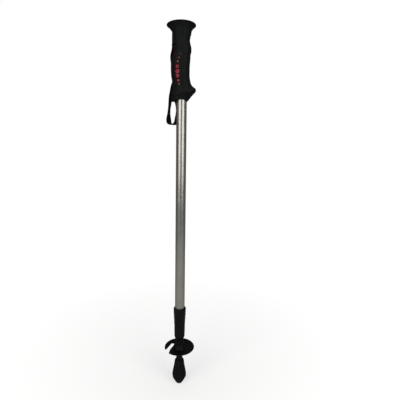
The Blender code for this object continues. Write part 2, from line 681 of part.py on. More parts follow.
def make_middle_collar():
    """The collar that the hand turns: shallow flutes between two plain bands."""
    low = MIDDLE_COLLAR_BOTTOM
    outer = MIDDLE_TUBE_RADIUS + REST_GAP + MIDDLE_COLLAR_WALL
    swell, chamfer = MIDDLE_COLLAR_SWELL, MIDDLE_COLLAR_CHAMFER
    stations = (  # share of the length, added radius, depth of the flutes as a share
        (0.0, -chamfer, 0.0), (0.13, 0.0, 0.0), (0.19, 0.1 * swell, 1.0), (0.70, 0.6 * swell, 1.0),
        (0.76, 0.7 * swell, 0.0), (0.78, 0.0, 0.0), (0.81, 0.0, 0.0), (0.84, 0.8 * swell, 0.0),
        (0.98, swell, 0.0), (1.0, swell - COLLAR_ROUNDING, 0.0),
    )
    rings = [
        fluted_ring(
            outer + added, low + share * COLLAR_LENGTH, COLLAR_FLUTES, depth * COLLAR_FLUTE_DEPTH,
            3 * COLLAR_FLUTES,
        )
        for share, added, depth in stations
    ]
    collar = loft("middle_collar", rings, MIDDLE)
    sleeve = MIDDLE_TUBE_RADIUS + REST_GAP
    lip = LOWER_TUBE_RADIUS + SLIDE_GAP
    step, high = low + COLLAR_LIP, low + COLLAR_LENGTH + MM
    bore = turned(
        "collar_bore",
        [(0.0, high), (sleeve, high), (sleeve, step), (lip, step), (lip, low - MM), (0.0, low - MM)],
        MIDDLE, group=CUTTERS,
    )
    cut(collar, bore)
    finish(collar, HARD_BLACK)


# Twist locks


def make_lock(name, tube_radius, tube_top, bore_radius, parent):
    """Plug, screw, cone, split shell and nut on top of a tube, for the bore of the tube outside it.

    Turning the tube turns the screw in the cone. The cone climbs into the shell and presses its fingers
    against the bore.
    """
    screw = SCREW_RADII[name]
    hole = screw + REST_GAP
    inside = tube_radius - TUBE_WALL - REST_GAP
    flange = tube_top + REST_GAP
    floor = flange + PLUG_FLANGE
    screw_bottom = floor - SCREW_DEPTH
    mouth = floor + REST_GAP + CONE_TRAVEL
    shell_top = mouth + SHELL_LENGTH
    nut_bottom = shell_top + REST_GAP
    screw_top = nut_bottom + NUT_HEIGHT + 1.5 * MM

    well = screw_bottom - REST_GAP
    rim = tube_radius - PLUG_SETBACK
    plug = turned(
        f"{name}_plug",
        [(0.0, well), (hole, well), (hole, floor), (rim, floor), (rim, flange), (inside, flange),
         (inside, floor - PLUG_DEPTH + MM), (inside - MM, floor - PLUG_DEPTH), (0.0, floor - PLUG_DEPTH)],
        parent, LOCK_FACETS,
    )
    finish(plug, NYLON)

    stud_piece = turned(
        f"{name}_screw",
        [(0.0, screw_top), (screw - 0.6 * MM, screw_top), (screw, screw_top - 0.6 * MM),
         (screw, screw_bottom), (0.0, screw_bottom)],
        parent, LOCK_FACETS,
    )
    finish(stud_piece, STEEL)

    shell_radius = bore_radius - SLIDE_GAP
    mouth_radius = shell_radius - SHELL_LIP
    base_radius = mouth_radius - SEAT_GAP
    thin_radius = hole + CONE_WALL
    slope = (base_radius - thin_radius) / CONE_LENGTH
    base = mouth - CONE_TRAVEL
    cone = turned(
        f"{name}_cone",
        [(thin_radius, base + CONE_LENGTH), (base_radius, base), (hole, base), (hole, base + CONE_LENGTH)],
        parent, LOCK_FACETS,
    )
    finish(cone, NYLON)

    throat = mouth + CONE_LENGTH + CONE_TRAVEL / 2
    throat_radius = mouth_radius - slope * (throat - mouth)
    head = shell_top - SHELL_HEAD
    ribs = []
    pitch = (SHELL_LENGTH - SHELL_HEAD) / (SHELL_RIBS + 1)
    for i in range(SHELL_RIBS):
        z = head - (i + 0.5) * pitch
        ribs += [(shell_radius, z), (shell_radius - 0.4 * MM, z - 0.3 * MM),
                 (shell_radius - 0.4 * MM, z - 1.1 * MM), (shell_radius, z - 1.4 * MM)]
    shell = turned(
        f"{name}_expander",
        [(hole, shell_top), (shell_radius - 0.8 * MM, shell_top), (shell_radius, shell_top - 0.8 * MM)]
        + ribs
        + [(shell_radius, mouth + 0.5 * MM), (shell_radius - 0.5 * MM, mouth), (mouth_radius, mouth),
           (throat_radius, throat), (throat_radius, head), (hole, head)],
        parent, LOCK_FACETS,
    )
    for turn in (45.0, 135.0):
        slit = block(
            f"{name}_slit_{turn:.0f}", (OUTSIDE, SHELL_SLIT, head - mouth + 2 * MM),
            (0.0, 0.0, (head + mouth) / 2 - 2 * MM), parent,
            Matrix.Rotation(math.radians(turn), 4, "Z"), CUTTERS,
        )
        cut(shell, slit)
    finish(shell, NYLON)

    def hexagon(bm):
        bmesh.ops.create_cone(
            bm, cap_ends=True, segments=6, radius1=NUT_ACROSS_FLATS[name] / math.sqrt(3),
            radius2=NUT_ACROSS_FLATS[name] / math.sqrt(3), depth=NUT_HEIGHT,
        )

    nut = add_object(
        f"{name}_nut", mesh_from(f"{name}_nut", hexagon), parent, (0.0, 0.0, nut_bottom + NUT_HEIGHT / 2)
    )
    nut_hole = cylinder(
        f"{name}_nut_hole", hole, nut_bottom - NUT_HEIGHT, nut_bottom + 2 * NUT_HEIGHT, parent,
        LOCK_FACETS, CUTTERS,
    )
    cut(nut, nut_hole)
    finish(nut, STEEL)


def make_middle_section():
    start = MIDDLE_COLLAR_BOTTOM + COLLAR_LIP + REST_GAP
    finish(tube("middle_tube", MIDDLE_TUBE_RADIUS, TUBE_WALL, start, MIDDLE_TUBE_TOP, MIDDLE), ALUMINIUM)
    make_middle_collar()
    make_lock("middle", MIDDLE_TUBE_RADIUS, MIDDLE_TUBE_TOP, UPPER_TUBE_RADIUS - TUBE_WALL, MIDDLE)


# Lower end


def make_lower_section():
    start = FERRULE_SHOULDER + REST_GAP
    finish(tube("lower_tube", LOWER_TUBE_RADIUS, TUBE_WALL, start, LOWER_TUBE_TOP, LOWER), ALUMINIUM)
    make_lock("lower", LOWER_TUBE_RADIUS, LOWER_TUBE_TOP, MIDDLE_TUBE_RADIUS - TUBE_WALL, LOWER)

    spigot = LOWER_TUBE_RADIUS - TUBE_WALL - REST_GAP
    top = FERRULE_SHOULDER + FERRULE_SPIGOT
    nose_bore = HOLDER_RADIUS + REST_GAP
    bore_top = HOLDER_BOTTOM + HOLDER_LENGTH + REST_GAP
    profile = [
        (0.0, top), (spigot - MM, top), (spigot, top - MM), (spigot, FERRULE_SHOULDER),
        (FERRULE_RADIUS, FERRULE_SHOULDER), (FERRULE_RADIUS, HUB_TOP + 1.4 * MM),
        (THREAD_RADIUS, HUB_TOP + REST_GAP),
        (THREAD_RADIUS, HUB_BOTTOM - MM), (NECK_RADIUS, HUB_BOTTOM - 2.5 * MM), (NECK_RADIUS, FOOT_HEIGHT),
        (NOSE_RADIUS, NOSE_HEIGHT + MM), (NOSE_RADIUS - 0.6 * MM, NOSE_HEIGHT), (nose_bore, NOSE_HEIGHT),
        (nose_bore, bore_top), (0.0, bore_top),
    ]
    finish(turned("ferrule", profile, LOWER, LOCK_FACETS), HARD_BLACK)

    bore = HOLDER_RADIUS - HOLDER_WALL
    holder_top = HOLDER_BOTTOM + HOLDER_LENGTH
    holder = turned(
        "tip_holder",
        [(bore, holder_top), (HOLDER_RADIUS - 0.4 * MM, holder_top), (HOLDER_RADIUS, holder_top - 0.4 * MM),
         (HOLDER_RADIUS, HOLDER_BOTTOM + 0.5 * MM), (HOLDER_RADIUS - 0.5 * MM, HOLDER_BOTTOM),
         (bore, HOLDER_BOTTOM)],
        LOWER, LOCK_FACETS,
    )
    finish(holder, STEEL)
    tip = turned(
        "tip",
        [(0.0, TIP_BOTTOM + TIP_LENGTH), (TIP_RADIUS, TIP_BOTTOM + TIP_LENGTH),
         (TIP_RADIUS, TIP_BOTTOM + 0.6 * MM), (TIP_RADIUS - 0.4 * MM, TIP_BOTTOM), (0.0, TIP_BOTTOM + TIP_CUP)],
        LOWER, LOCK_FACETS,
    )
    finish(tip, CARBIDE)


def basket_sheet(radius):
    """Height of the middle of the disc at a radius: level at the rim, lower towards the hub."""
    share = (BASKET_RADIUS - radius) / (BASKET_RADIUS - HUB_RADIUS)
    return BASKET_HEIGHT - BASKET_DISH * math.sin(math.pi / 2 * share)


def make_basket():
    half = BASKET_SHEET / 2
    bore = THREAD_RADIUS + REST_GAP
    rim = BASKET_RADIUS
    radii = [HUB_RADIUS + share * (rim - HUB_RADIUS) for share in (0.3, 0.6, 0.85)]
    flare = [
        (FERRULE_RADIUS + more, HUB_TOP - (HUB_TOP - BASKET_HEIGHT) * 0.25 * (i + 1))
        for i, more in enumerate(HUB_FLARE)
    ]
    profile = [(bore, HUB_TOP), (FERRULE_RADIUS, HUB_TOP), *flare]
    profile += [(r, basket_sheet(r) + half) for r in radii]
    profile += [
        (rim - BASKET_EDGE, BASKET_HEIGHT + half), (rim, BASKET_HEIGHT + 0.4 * half),
        (rim, BASKET_HEIGHT - 0.4 * half), (rim - BASKET_EDGE, BASKET_HEIGHT - half),
    ]
    profile += [(r, basket_sheet(r) - half) for r in reversed(radii)]
    under = basket_sheet(HUB_RADIUS) - half
    profile += [(HUB_RADIUS + MM, under), (HUB_RADIUS, under - MM)]
    edge = BASKET_EDGE
    profile += [(HUB_RADIUS, HUB_BOTTOM + edge), (HUB_RADIUS - edge, HUB_BOTTOM), (bore, HUB_BOTTOM)]
    basket = turned("basket", profile, LOWER)

    def slot_shape(bm):
        """The clip slot: straight, with a round inner end and a mouth that opens at the rim."""
        half_width, half_mouth = CLIP_WIDTH / 2, CLIP_MOUTH / 2
        spread = half_mouth + (OUTSIDE - rim) * (half_mouth - half_width) / (rim - CLIP_FUNNEL)
        outline = [(OUTSIDE, spread), (CLIP_FUNNEL, half_width)]
        for i in range(9):
            angle = math.pi / 2 + math.pi * i / 8
            centre = CLIP_INNER_END + half_width
            outline.append((centre + half_width * math.cos(angle), half_width * math.sin(angle)))
        outline += [(CLIP_FUNNEL, -half_width), (OUTSIDE, -spread)]
        turn = Matrix.Rotation(math.pi * 1.5 - CLIP_TURN, 4, "Z")
        corners = [turn @ Vector((x, y - CLIP_OFFSET, HUB_BOTTOM)) for x, y in outline]
        face = bm.faces.new([bm.verts.new(corner) for corner in corners])
        made = bmesh.ops.extrude_face_region(bm, geom=[face])["geom"]
        moved = [part for part in made if isinstance(part, bmesh.types.BMVert)]
        bmesh.ops.translate(bm, verts=moved, vec=(0.0, 0.0, HUB_TOP - HUB_BOTTOM))

    slot = add_object("clip_slot", mesh_from("clip_slot", slot_shape), LOWER, group=CUTTERS)
    cut(basket, slot)
    finish(basket, HARD_BLACK)


def make_foot():
    rings = []
    for share, radius in FOOT_PROFILE:
        height = share * FOOT_HEIGHT
        fade = min(1.0, max(0.0, (FOOT_HEIGHT - FLUTES_END - height) / FLUTES_FADE))
        rings.append(fluted_ring(radius * MM, height, FOOT_FLUTES, fade * FLUTE_DEPTH, 4 * FOOT_FLUTES))
    foot = loft("rubber_foot", rings, LOWER)
    nose = NOSE_RADIUS + REST_GAP
    mouth = NECK_RADIUS + REST_GAP
    high = FOOT_HEIGHT + MM
    cavity = turned(
        "foot_cavity",
        [(0.0, high), (mouth, high), (mouth, FOOT_HEIGHT - MM), (nose, NOSE_HEIGHT), (nose, FOOT_SOLE),
         (0.0, FOOT_SOLE)],
        LOWER, group=CUTTERS,
    )
    cut(foot, cavity)
    inner, outer, depth = SOLE_RING
    tread = turned(
        "tread_ring", [(outer, depth), (outer, -MM), (inner, -MM), (inner, depth)], LOWER, group=CUTTERS
    )
    cut(foot, tread)
    finish(foot, SOFT_BLACK)
    top = WASHER_BOTTOM + WASHER_THICKNESS
    finish(cylinder("foot_washer", WASHER_RADIUS, WASHER_BOTTOM, top, LOWER), STEEL)


make_grip()
make_strap_lock()
make_strap()
make_upper_section()
make_middle_section()
make_lower_section()
make_basket()
make_foot()
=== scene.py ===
import math

import bmesh
import bpy
import numpy as np
from mathutils import Matrix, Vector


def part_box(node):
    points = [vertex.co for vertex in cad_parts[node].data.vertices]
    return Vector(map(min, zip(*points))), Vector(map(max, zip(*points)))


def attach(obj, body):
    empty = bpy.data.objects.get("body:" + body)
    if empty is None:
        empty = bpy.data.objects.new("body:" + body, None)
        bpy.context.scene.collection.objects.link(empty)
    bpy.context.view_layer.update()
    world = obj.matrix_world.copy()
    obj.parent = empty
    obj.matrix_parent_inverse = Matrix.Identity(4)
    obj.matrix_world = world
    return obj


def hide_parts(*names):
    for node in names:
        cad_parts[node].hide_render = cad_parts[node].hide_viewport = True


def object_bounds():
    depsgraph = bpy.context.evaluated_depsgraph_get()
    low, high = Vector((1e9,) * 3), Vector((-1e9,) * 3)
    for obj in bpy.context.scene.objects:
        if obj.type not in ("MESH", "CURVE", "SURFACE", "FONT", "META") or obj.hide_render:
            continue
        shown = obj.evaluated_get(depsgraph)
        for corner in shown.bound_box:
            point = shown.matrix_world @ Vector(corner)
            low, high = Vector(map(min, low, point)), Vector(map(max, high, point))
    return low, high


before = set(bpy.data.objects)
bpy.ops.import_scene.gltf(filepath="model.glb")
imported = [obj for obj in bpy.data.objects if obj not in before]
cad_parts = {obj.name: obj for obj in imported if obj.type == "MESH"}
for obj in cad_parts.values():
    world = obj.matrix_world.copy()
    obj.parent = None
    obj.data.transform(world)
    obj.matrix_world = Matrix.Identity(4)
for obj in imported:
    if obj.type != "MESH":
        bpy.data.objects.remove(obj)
cadLow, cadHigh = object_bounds()
mm = 0.001
ground = cadLow.z  # the sole of the rubber foot
scene = bpy.context.scene


# camera and studio

cameraView = {
    "focal": 27.27, "sensor": 36.0,  # millimetres
    "distance": 0.5395, "aside": 0.0346, "height": 0.421,  # from the pole's axis and above the ground, metres
    "pitch": 6.97, "turn": 3.5, "roll": 0.95,  # degrees
}

studio = {
    "floorRadius": 0.9, "floorGlow": (0.62, 0.95),  # metres, and how brightly its middle and rim are seen
    "ambient": 0.12,  # light from all round, next to a white that is only seen behind the pole
    "boxSize": (0.66, 1.2), "boxDistance": 0.95, "boxHeight": 0.9, "boxPower": 3.9,
    "boxTilt": 80.0, "boxTurns": (-119.5, -46.0),  # degrees round the pole, to the left and right of the camera
}


def makeCamera():
    # the camera stands in front of the pole, is carried round its axis by turn, and looks down by pitch
    data = bpy.data.cameras.new("camera")
    data.lens = cameraView["focal"]
    data.sensor_width = cameraView["sensor"]
    camera = bpy.data.objects.new("camera", data)
    scene.collection.objects.link(camera)
    carried = Matrix.Rotation(math.radians(cameraView["turn"]), 4, "Z")
    place = Matrix.Translation((cameraView["aside"], -cameraView["distance"], ground + cameraView["height"]))
    look = Matrix.Rotation(math.radians(90 - cameraView["pitch"]), 4, "X")
    tip = Matrix.Rotation(math.radians(cameraView["roll"]), 4, "Z")
    camera.matrix_world = carried @ place @ look @ tip
    scene.camera = camera
    scene.view_settings.view_transform = "Standard"


def hexColour(code):
    # sRGB to linear, channel by channel
    channels = np.array([int(code[i:i + 2], 16) for i in (1, 3, 5)]) / 255
    linear = np.where(channels <= 0.04045, channels / 12.92, ((channels + 0.055) / 1.055) ** 2.4)
    return (*linear.tolist(), 1.0)


def addNode(tree, kind, inputs, **settings):
    # a node with its settings; each input is a value or the socket it is linked from
    node = tree.nodes.new(kind)
    for name, value in settings.items():
        setattr(node, name, value)
    for key, value in inputs.items():
        if isinstance(value, bpy.types.NodeSocket):
            tree.links.new(value, node.inputs[key])
        else:
            node.inputs[key].default_value = value
    return node


def makeWorld():
    # what the camera sees behind the pole is white; what lights the pole is dimmer, so that bright metal has
    # dark edges
    world = bpy.data.worlds.new("studio")
    scene.world = world
    world.use_nodes = True
    tree = world.node_tree
    tree.nodes.clear()
    seen = addNode(tree, "ShaderNodeBackground", {"Color": (1, 1, 1, 1), "Strength": 1.0})
    lit = addNode(tree, "ShaderNodeBackground", {"Color": (1, 1, 1, 1), "Strength": studio["ambient"]})
    path = addNode(tree, "ShaderNodeLightPath", {})
    mix = addNode(tree, "ShaderNodeMixShader", {
        0: path.outputs["Is Camera Ray"], 1: lit.outputs[0], 2: seen.outputs[0],
    })
    addNode(tree, "ShaderNodeOutputWorld", {"Surface": mix.outputs[0]})


def makeSoftBoxes():
    for name, turn in zip(("left", "right"), studio["boxTurns"]):
        data = bpy.data.lights.new(f"soft_box_{name}", "AREA")
        data.shape = "RECTANGLE"
        data.size, data.size_y = studio["boxSize"]
        data.energy = studio["boxPower"]
        box = bpy.data.objects.new(f"soft_box_{name}", data)
        scene.collection.objects.link(box)
        angle = math.radians(turn)
        box.location = (
            studio["boxDistance"] * math.cos(angle), studio["boxDistance"] * math.sin(angle),
            ground + studio["boxHeight"],
        )
        box.rotation_euler = (math.radians(studio["boxTilt"]), 0, angle + math.pi / 2)


def makeFloor():
    # a round sheet of pale paper, made brighter where the camera sees it, so that only a soft shadow shows
    mesh = bpy.data.meshes.new("floor")
    bm = bmesh.new()
    bmesh.ops.create_circle(
        bm, cap_ends=True, segments=96, radius=studio["floorRadius"],
        matrix=Matrix.Translation((0, 0, ground)),
    )
    bm.to_mesh(mesh)
    bm.free()
    floor = bpy.data.objects.new("floor", mesh)
    scene.collection.objects.link(floor)
    material = bpy.data.materials.new("pale studio paper")
    material.use_nodes = True
    tree = material.node_tree
    shader = tree.nodes["Principled BSDF"]
    shader.inputs["Base Color"].default_value = hexColour("#e8e8e6")
    shader.inputs["Roughness"].default_value = 0.9
    shader.inputs["Emission Color"].default_value = (1, 1, 1, 1)
    place = addNode(tree, "ShaderNodeTexCoord", {})
    away = addNode(tree, "ShaderNodeVectorMath", {
        0: place.outputs["Object"], 1: (1, 1, 0),
    }, operation="MULTIPLY")
    length = addNode(tree, "ShaderNodeVectorMath", {0: away.outputs[0]}, operation="LENGTH")
    lift = addNode(tree, "ShaderNodeMapRange", {
        "Value": length.outputs["Value"], "From Min": 0.0, "From Max": studio["floorRadius"],
        "To Min": studio["floorGlow"][0], "To Max": studio["floorGlow"][1],
    })
    path = addNode(tree, "ShaderNodeLightPath", {})
    seen = addNode(tree, "ShaderNodeMath", {
        0: lift.outputs[0], 1: path.outputs["Is Camera Ray"],
    }, operation="MULTIPLY")
    tree.links.new(seen.outputs[0], shader.inputs["Emission Strength"])
    mesh.materials.append(material)


makeCamera()
makeWorld()
makeSoftBoxes()
makeFloor()
print("camera, soft boxes and floor are set")


# materials

def startMaterial(name, colour, roughness, metallic=0.0):
    material = bpy.data.materials.new(name)
    material.use_nodes = True
    tree = material.node_tree
    shader = tree.nodes["Principled BSDF"]
    shader.inputs["Base Color"].default_value = hexColour(colour)
    shader.inputs["Roughness"].default_value = roughness
    shader.inputs["Metallic"].default_value = metallic
    if metallic == 0:
        # the fine pits of a moulded skin hold light back
        shader.inputs["Specular IOR Level"].default_value = 0.16
    return material, tree, shader


def mottle(tree, size, low, high, stretch=(1, 1, 1), detail=3.0):
    # noise with patches of the given size in millimetres, brought to the range from low to high
    place = addNode(tree, "ShaderNodeTexCoord", {})
    scaled = addNode(tree, "ShaderNodeMapping", {"Vector": place.outputs["Object"], "Scale": stretch})
    noise = addNode(tree, "ShaderNodeTexNoise", {
        "Vector": scaled.outputs[0], "Scale": 1 / (size * mm), "Detail": detail, "Roughness": 0.55,
    })
    return addNode(tree, "ShaderNodeMapRange", {
        "Value": noise.outputs["Fac"], "From Min": 0.3, "From Max": 0.7, "To Min": low, "To Max": high,
    }).outputs[0]


def addGrain(tree, shader, height, depth):
    # the height pattern as relief, depth in millimetres
    bump = addNode(tree, "ShaderNodeBump", {"Height": height, "Strength": 1.0, "Distance": depth * mm})
    tree.links.new(bump.outputs["Normal"], shader.inputs["Normal"])
    return bump


def blendColours(tree, factor, first, second):
    # first and second are hex colours or colour sockets
    first, second = (hexColour(c) if isinstance(c, str) else c for c in (first, second))
    return addNode(tree, "ShaderNodeMix", {0: factor, 6: first, 7: second}, data_type="RGBA").outputs[2]


def makeGripRubber():
    # thermoplastic elastomer, moulded over the core in a spark-eroded mould: matte, fine grain, cloudy sheen
    # where hands polish it, and a dark red painted in the sunken dishes and channel round the studs: the core's red
    # with painted shade
    material, tree, shader = startMaterial("moulded grip rubber", "#111312", 0.6)
    cloud = mottle(tree, 9.0, 0.0, 1.0)
    black = blendColours(tree, cloud, "#0a0c0b", "#181b1a")
    # the dark red is the red core's colour darkened by painted shade, laid where the rubber is sunk round the studs
    recessShade = addNode(tree, "ShaderNodeAttribute", {}, attribute_name="redRecessShade")
    tint = blendColours(tree, recessShade.outputs["Fac"], black, "#30090d")
    bar = addNode(tree, "ShaderNodeAttribute", {}, attribute_name="palmBar")
    tree.links.new(blendColours(tree, bar.outputs["Fac"], tint, "#3a0c12"), shader.inputs["Base Color"])
    tree.links.new(mottle(tree, 14.0, 0.5, 0.66), shader.inputs["Roughness"])
    grain = mottle(tree, 0.45, 0.0, 1.0, detail=2.0)  # grit of about 0.3 mm, drawn a little coarser to show
    addGrain(tree, shader, grain, 0.035)
    shader.inputs["IOR"].default_value = 1.48
    return material


def makeRedCore():
    # pigmented polypropylene, moulded glossy: deep red, with painted highlights: paler on the raised rings, grey-pink
    # on small studs
    material, tree, shader = startMaterial("moulded red polypropylene", "#b0182c", 0.38)
    # painted highlight: paler pink on the studs' raised rings
    ring = addNode(tree, "ShaderNodeAttribute", {}, attribute_name="ring")
    # painted highlight: the smaller studs washed grey-pink
    smallStudHighlight = addNode(tree, "ShaderNodeAttribute", {}, attribute_name="smallStudHighlight")
    full = blendColours(tree, ring.outputs["Fac"], "#b0142a", "#d0606c")
    wearAndHighlight = blendColours(tree, smallStudHighlight.outputs["Fac"], full, "#8a6e6c")
    cloud = mottle(tree, 3.0, 0.0, 0.25)
    tree.links.new(blendColours(tree, cloud, wearAndHighlight, "#7c0c1c"), shader.inputs["Base Color"])
    addGrain(tree, shader, mottle(tree, 0.5, 0.0, 1.0), 0.012)
    shader.inputs["IOR"].default_value = 1.49
    return material


def makeBlackNylon(name, low, high, roughness, grainSize, grainDepth):
    # glass-filled nylon, injection moulded in an etched mould: satin black with an even fine grain and
    # faint flow clouds
    material, tree, shader = startMaterial(name, low, roughness)
    tree.links.new(blendColours(tree, mottle(tree, 6.0, 0.0, 1.0), low, high), shader.inputs["Base Color"])
    tree.links.new(mottle(tree, 11.0, roughness - 0.05, roughness + 0.07), shader.inputs["Roughness"])
    addGrain(tree, shader, mottle(tree, grainSize, 0.0, 1.0, detail=2.0), grainDepth)
    shader.inputs["IOR"].default_value = 1.53
    return material


def makeFootRubber():
    # vulcanised natural rubber: dull black, greyer where the ground has scuffed the lowest millimetres
    material, tree, shader = startMaterial("vulcanised foot rubber", "#121212", 0.72)
    place = addNode(tree, "ShaderNodeTexCoord", {})
    split = addNode(tree, "ShaderNodeSeparateXYZ", {0: place.outputs["Object"]})
    wearAndHighlight = addNode(tree, "ShaderNodeMapRange", {
        "Value": split.outputs["Z"], "From Min": ground + 9 * mm, "From Max": ground + 1 * mm,
    })
    patchy = addNode(tree, "ShaderNodeMath", {
        0: wearAndHighlight.outputs[0], 1: mottle(tree, 2.5, 0.3, 1.0),
    }, operation="MULTIPLY")
    black = blendColours(tree, mottle(tree, 5.0, 0.0, 1.0), "#0e0e0f", "#1b1b1c")
    tree.links.new(blendColours(tree, patchy.outputs[0], black, "#3a3937"), shader.inputs["Base Color"])
    tree.links.new(mottle(tree, 7.0, 0.62, 0.8), shader.inputs["Roughness"])
    addGrain(tree, shader, mottle(tree, 0.6, 0.0, 1.0), 0.05)
    shader.inputs["IOR"].default_value = 1.52
    return material


def makeAluminium(name, colour, roughness):
    # drawn aluminium tube, brushed along and clear anodised: satin, with streaks that run the whole length
    material, tree, shader = startMaterial(name, colour, roughness, 1.0)
    streak = mottle(tree, 0.7, 0.0, 1.0, stretch=(1, 1, 0.012), detail=4.0)
    shade = blendColours(tree, streak, colour, "#d9d7cf")
    tarnished = blendColours(tree, mottle(tree, 30.0, 0.0, 0.3), shade, "#a7a399")
    tree.links.new(tarnished, shader.inputs["Base Color"])
    rough = addNode(tree, "ShaderNodeMapRange", {
        "Value": streak, "To Min": roughness - 0.04, "To Max": roughness + 0.06,
    })
    tree.links.new(rough.outputs[0], shader.inputs["Roughness"])
    addGrain(tree, shader, streak, 0.004)
    return material


def makeWebbing():
    # polyester webbing, woven in a herringbone of ribs with a firm selvedge: black and dull
    rib, cord, slope, selvedge = 1.1, 0.9, 0.9, (5.6, 6.2)  # millimetres, and how steeply the ribs slant
    material, tree, shader = startMaterial("woven polyester webbing", "#0f0f11", 0.82)

    def reckon(operation, *values):
        return addNode(tree, "ShaderNodeMath", dict(enumerate(values)), operation=operation).outputs[0]

    # millimetres from the fold, and from the middle
    along = addNode(tree, "ShaderNodeAttribute", {}, attribute_name="along").outputs["Fac"]
    across = addNode(tree, "ShaderNodeAttribute", {}, attribute_name="across").outputs["Fac"]
    side = reckon("ABSOLUTE", across)
    slanted = reckon("MULTIPLY_ADD", side, slope, along)
    ribs = reckon("SINE", reckon("MULTIPLY", slanted, 2 * math.pi / rib))
    cords = reckon("SINE", reckon("MULTIPLY", across, 2 * math.pi / cord))
    weave = reckon("MULTIPLY_ADD", cords, 0.4, ribs)
    relief = addNode(tree, "ShaderNodeMapRange", {"Value": weave, "From Min": -1.4, "From Max": 1.4})
    edge = addNode(tree, "ShaderNodeMapRange", {
        "Value": side, "From Min": selvedge[0], "From Max": selvedge[1],
    })
    flat = addNode(tree, "ShaderNodeMix", {0: edge.outputs[0], 2: relief.outputs[0], 3: 0.8})
    thread = blendColours(tree, flat.outputs[0], "#08080a", "#232427")
    dusty = blendColours(tree, mottle(tree, 4.0, 0.0, 0.5), thread, "#141416")
    tree.links.new(dusty, shader.inputs["Base Color"])
    addGrain(tree, shader, flat.outputs[0], 0.12)
    return material


def makeMetal(name, colour, light, roughness, size, depth):
    # plated steel or sintered carbide: an even metal skin with the fine marks of turning or grinding
    material, tree, shader = startMaterial(name, colour, roughness, 1.0)
    cloudy = blendColours(tree, mottle(tree, 3.0, 0.0, 1.0), colour, light)
    tree.links.new(cloudy, shader.inputs["Base Color"])
    tree.links.new(mottle(tree, 2.0, roughness - 0.06, roughness + 0.1), shader.inputs["Roughness"])
    addGrain(tree, shader, mottle(tree, size, 0.0, 1.0, stretch=(1, 1, 6)), depth)
    return material


def makeNaturalNylon():
    # unpigmented nylon, moulded: milky, slightly warm, with light passing a little way in
    material, tree, shader = startMaterial("natural nylon", "#d8d3bf", 0.42)
    milky = blendColours(tree, mottle(tree, 5.0, 0.0, 1.0), "#cfc9b4", "#e2decd")
    tree.links.new(milky, shader.inputs["Base Color"])
    addGrain(tree, shader, mottle(tree, 0.7, 0.0, 1.0), 0.015)
    shader.inputs["Subsurface Weight"].default_value = 0.15
    shader.inputs["Subsurface Scale"].default_value = 0.8 * mm
    return material


gripRubber = makeGripRubber()
redCore = makeRedCore()
capNylon = makeBlackNylon("moulded cap nylon", "#0c0c0d", "#161718", 0.44, 0.5, 0.02)
collarNylon = makeBlackNylon("moulded collar nylon", "#0d0d0e", "#19191a", 0.38, 0.4, 0.018)
basketNylon = makeBlackNylon("moulded basket nylon", "#0b0b0c", "#151516", 0.46, 0.6, 0.025)
footRubber = makeFootRubber()
outerAluminium = makeAluminium("satin anodised aluminium", "#c4c1b8", 0.3)
innerAluminium = makeAluminium("bright anodised aluminium", "#cfcdc6", 0.24)
webbing = makeWebbing()
zincSteel = makeMetal("zinc plated steel", "#a8a8a2", "#c4c3ba", 0.34, 0.5, 0.006)
carbide = makeMetal("sintered carbide", "#6b6b6e", "#84848a", 0.36, 0.3, 0.01)
naturalNylon = makeNaturalNylon()
print("materials are made")


# shapes

def fillMesh(name, points, faces, material, attributes=None, sharpAngle=38.0):
    # one mesh from arrays; doubles at poles are merged before the normals are worked out
    mesh = bpy.data.meshes.new(name)
    mesh.from_pydata(points.reshape(-1, 3).tolist(), [], faces.tolist())
    for key, values in (attributes or {}).items():
        attribute = mesh.attributes.new(key, "FLOAT", "POINT")
        attribute.data.foreach_set("value", np.ravel(values).astype(np.float32))
    bm = bmesh.new()
    bm.from_mesh(mesh)
    bmesh.ops.remove_doubles(bm, verts=bm.verts, dist=1e-6)
    bmesh.ops.dissolve_degenerate(bm, edges=bm.edges, dist=1e-7)
    bmesh.ops.recalc_face_normals(bm, faces=bm.faces)
    bm.to_mesh(mesh)
    bm.free()
    mesh.materials.append(material)
    mesh.shade_smooth()
    mesh.set_sharp_from_angle(angle=math.radians(sharpAngle))
    piece = bpy.data.objects.new(name, mesh)
    scene.collection.objects.link(piece)
    return piece


def gridFaces(rows, columns, wrapRows=False, wrapColumns=True, start=0):
    # quads between neighbouring rows and columns of a grid of points numbered row by row
    i, j = np.indices((rows if wrapRows else rows - 1, columns if wrapColumns else columns - 1))
    down, right = (i + 1) % rows, (j + 1) % columns
    quads = np.stack([
        i * columns + j, i * columns + right, down * columns + right, down * columns + j,
    ], axis=-1)
    return quads.reshape(-1, 4) + start


def softProfile(points, radius, closed=True, steps=4):
    # every corner of a profile becomes a parabola's arc that starts radius away from the corner
    points = np.asarray(points, float)
    made = []
    count = len(points)
    for i in range(count):
        if not closed and i in (0, count - 1):
            made.append(points[i:i + 1])
            continue
        corner, before, after = points[i], points[i - 1], points[(i + 1) % count]
        back, ahead = np.linalg.norm(before - corner), np.linalg.norm(after - corner)
        start = corner + (before - corner) / back * min(radius, 0.45 * back)
        end = corner + (after - corner) / ahead * min(radius, 0.45 * ahead)
        t = np.linspace(0, 1, steps + 1)[:, None]
        made.append((1 - t) ** 2 * start + 2 * t * (1 - t) * corner + t**2 * end)
    return np.vstack(made)


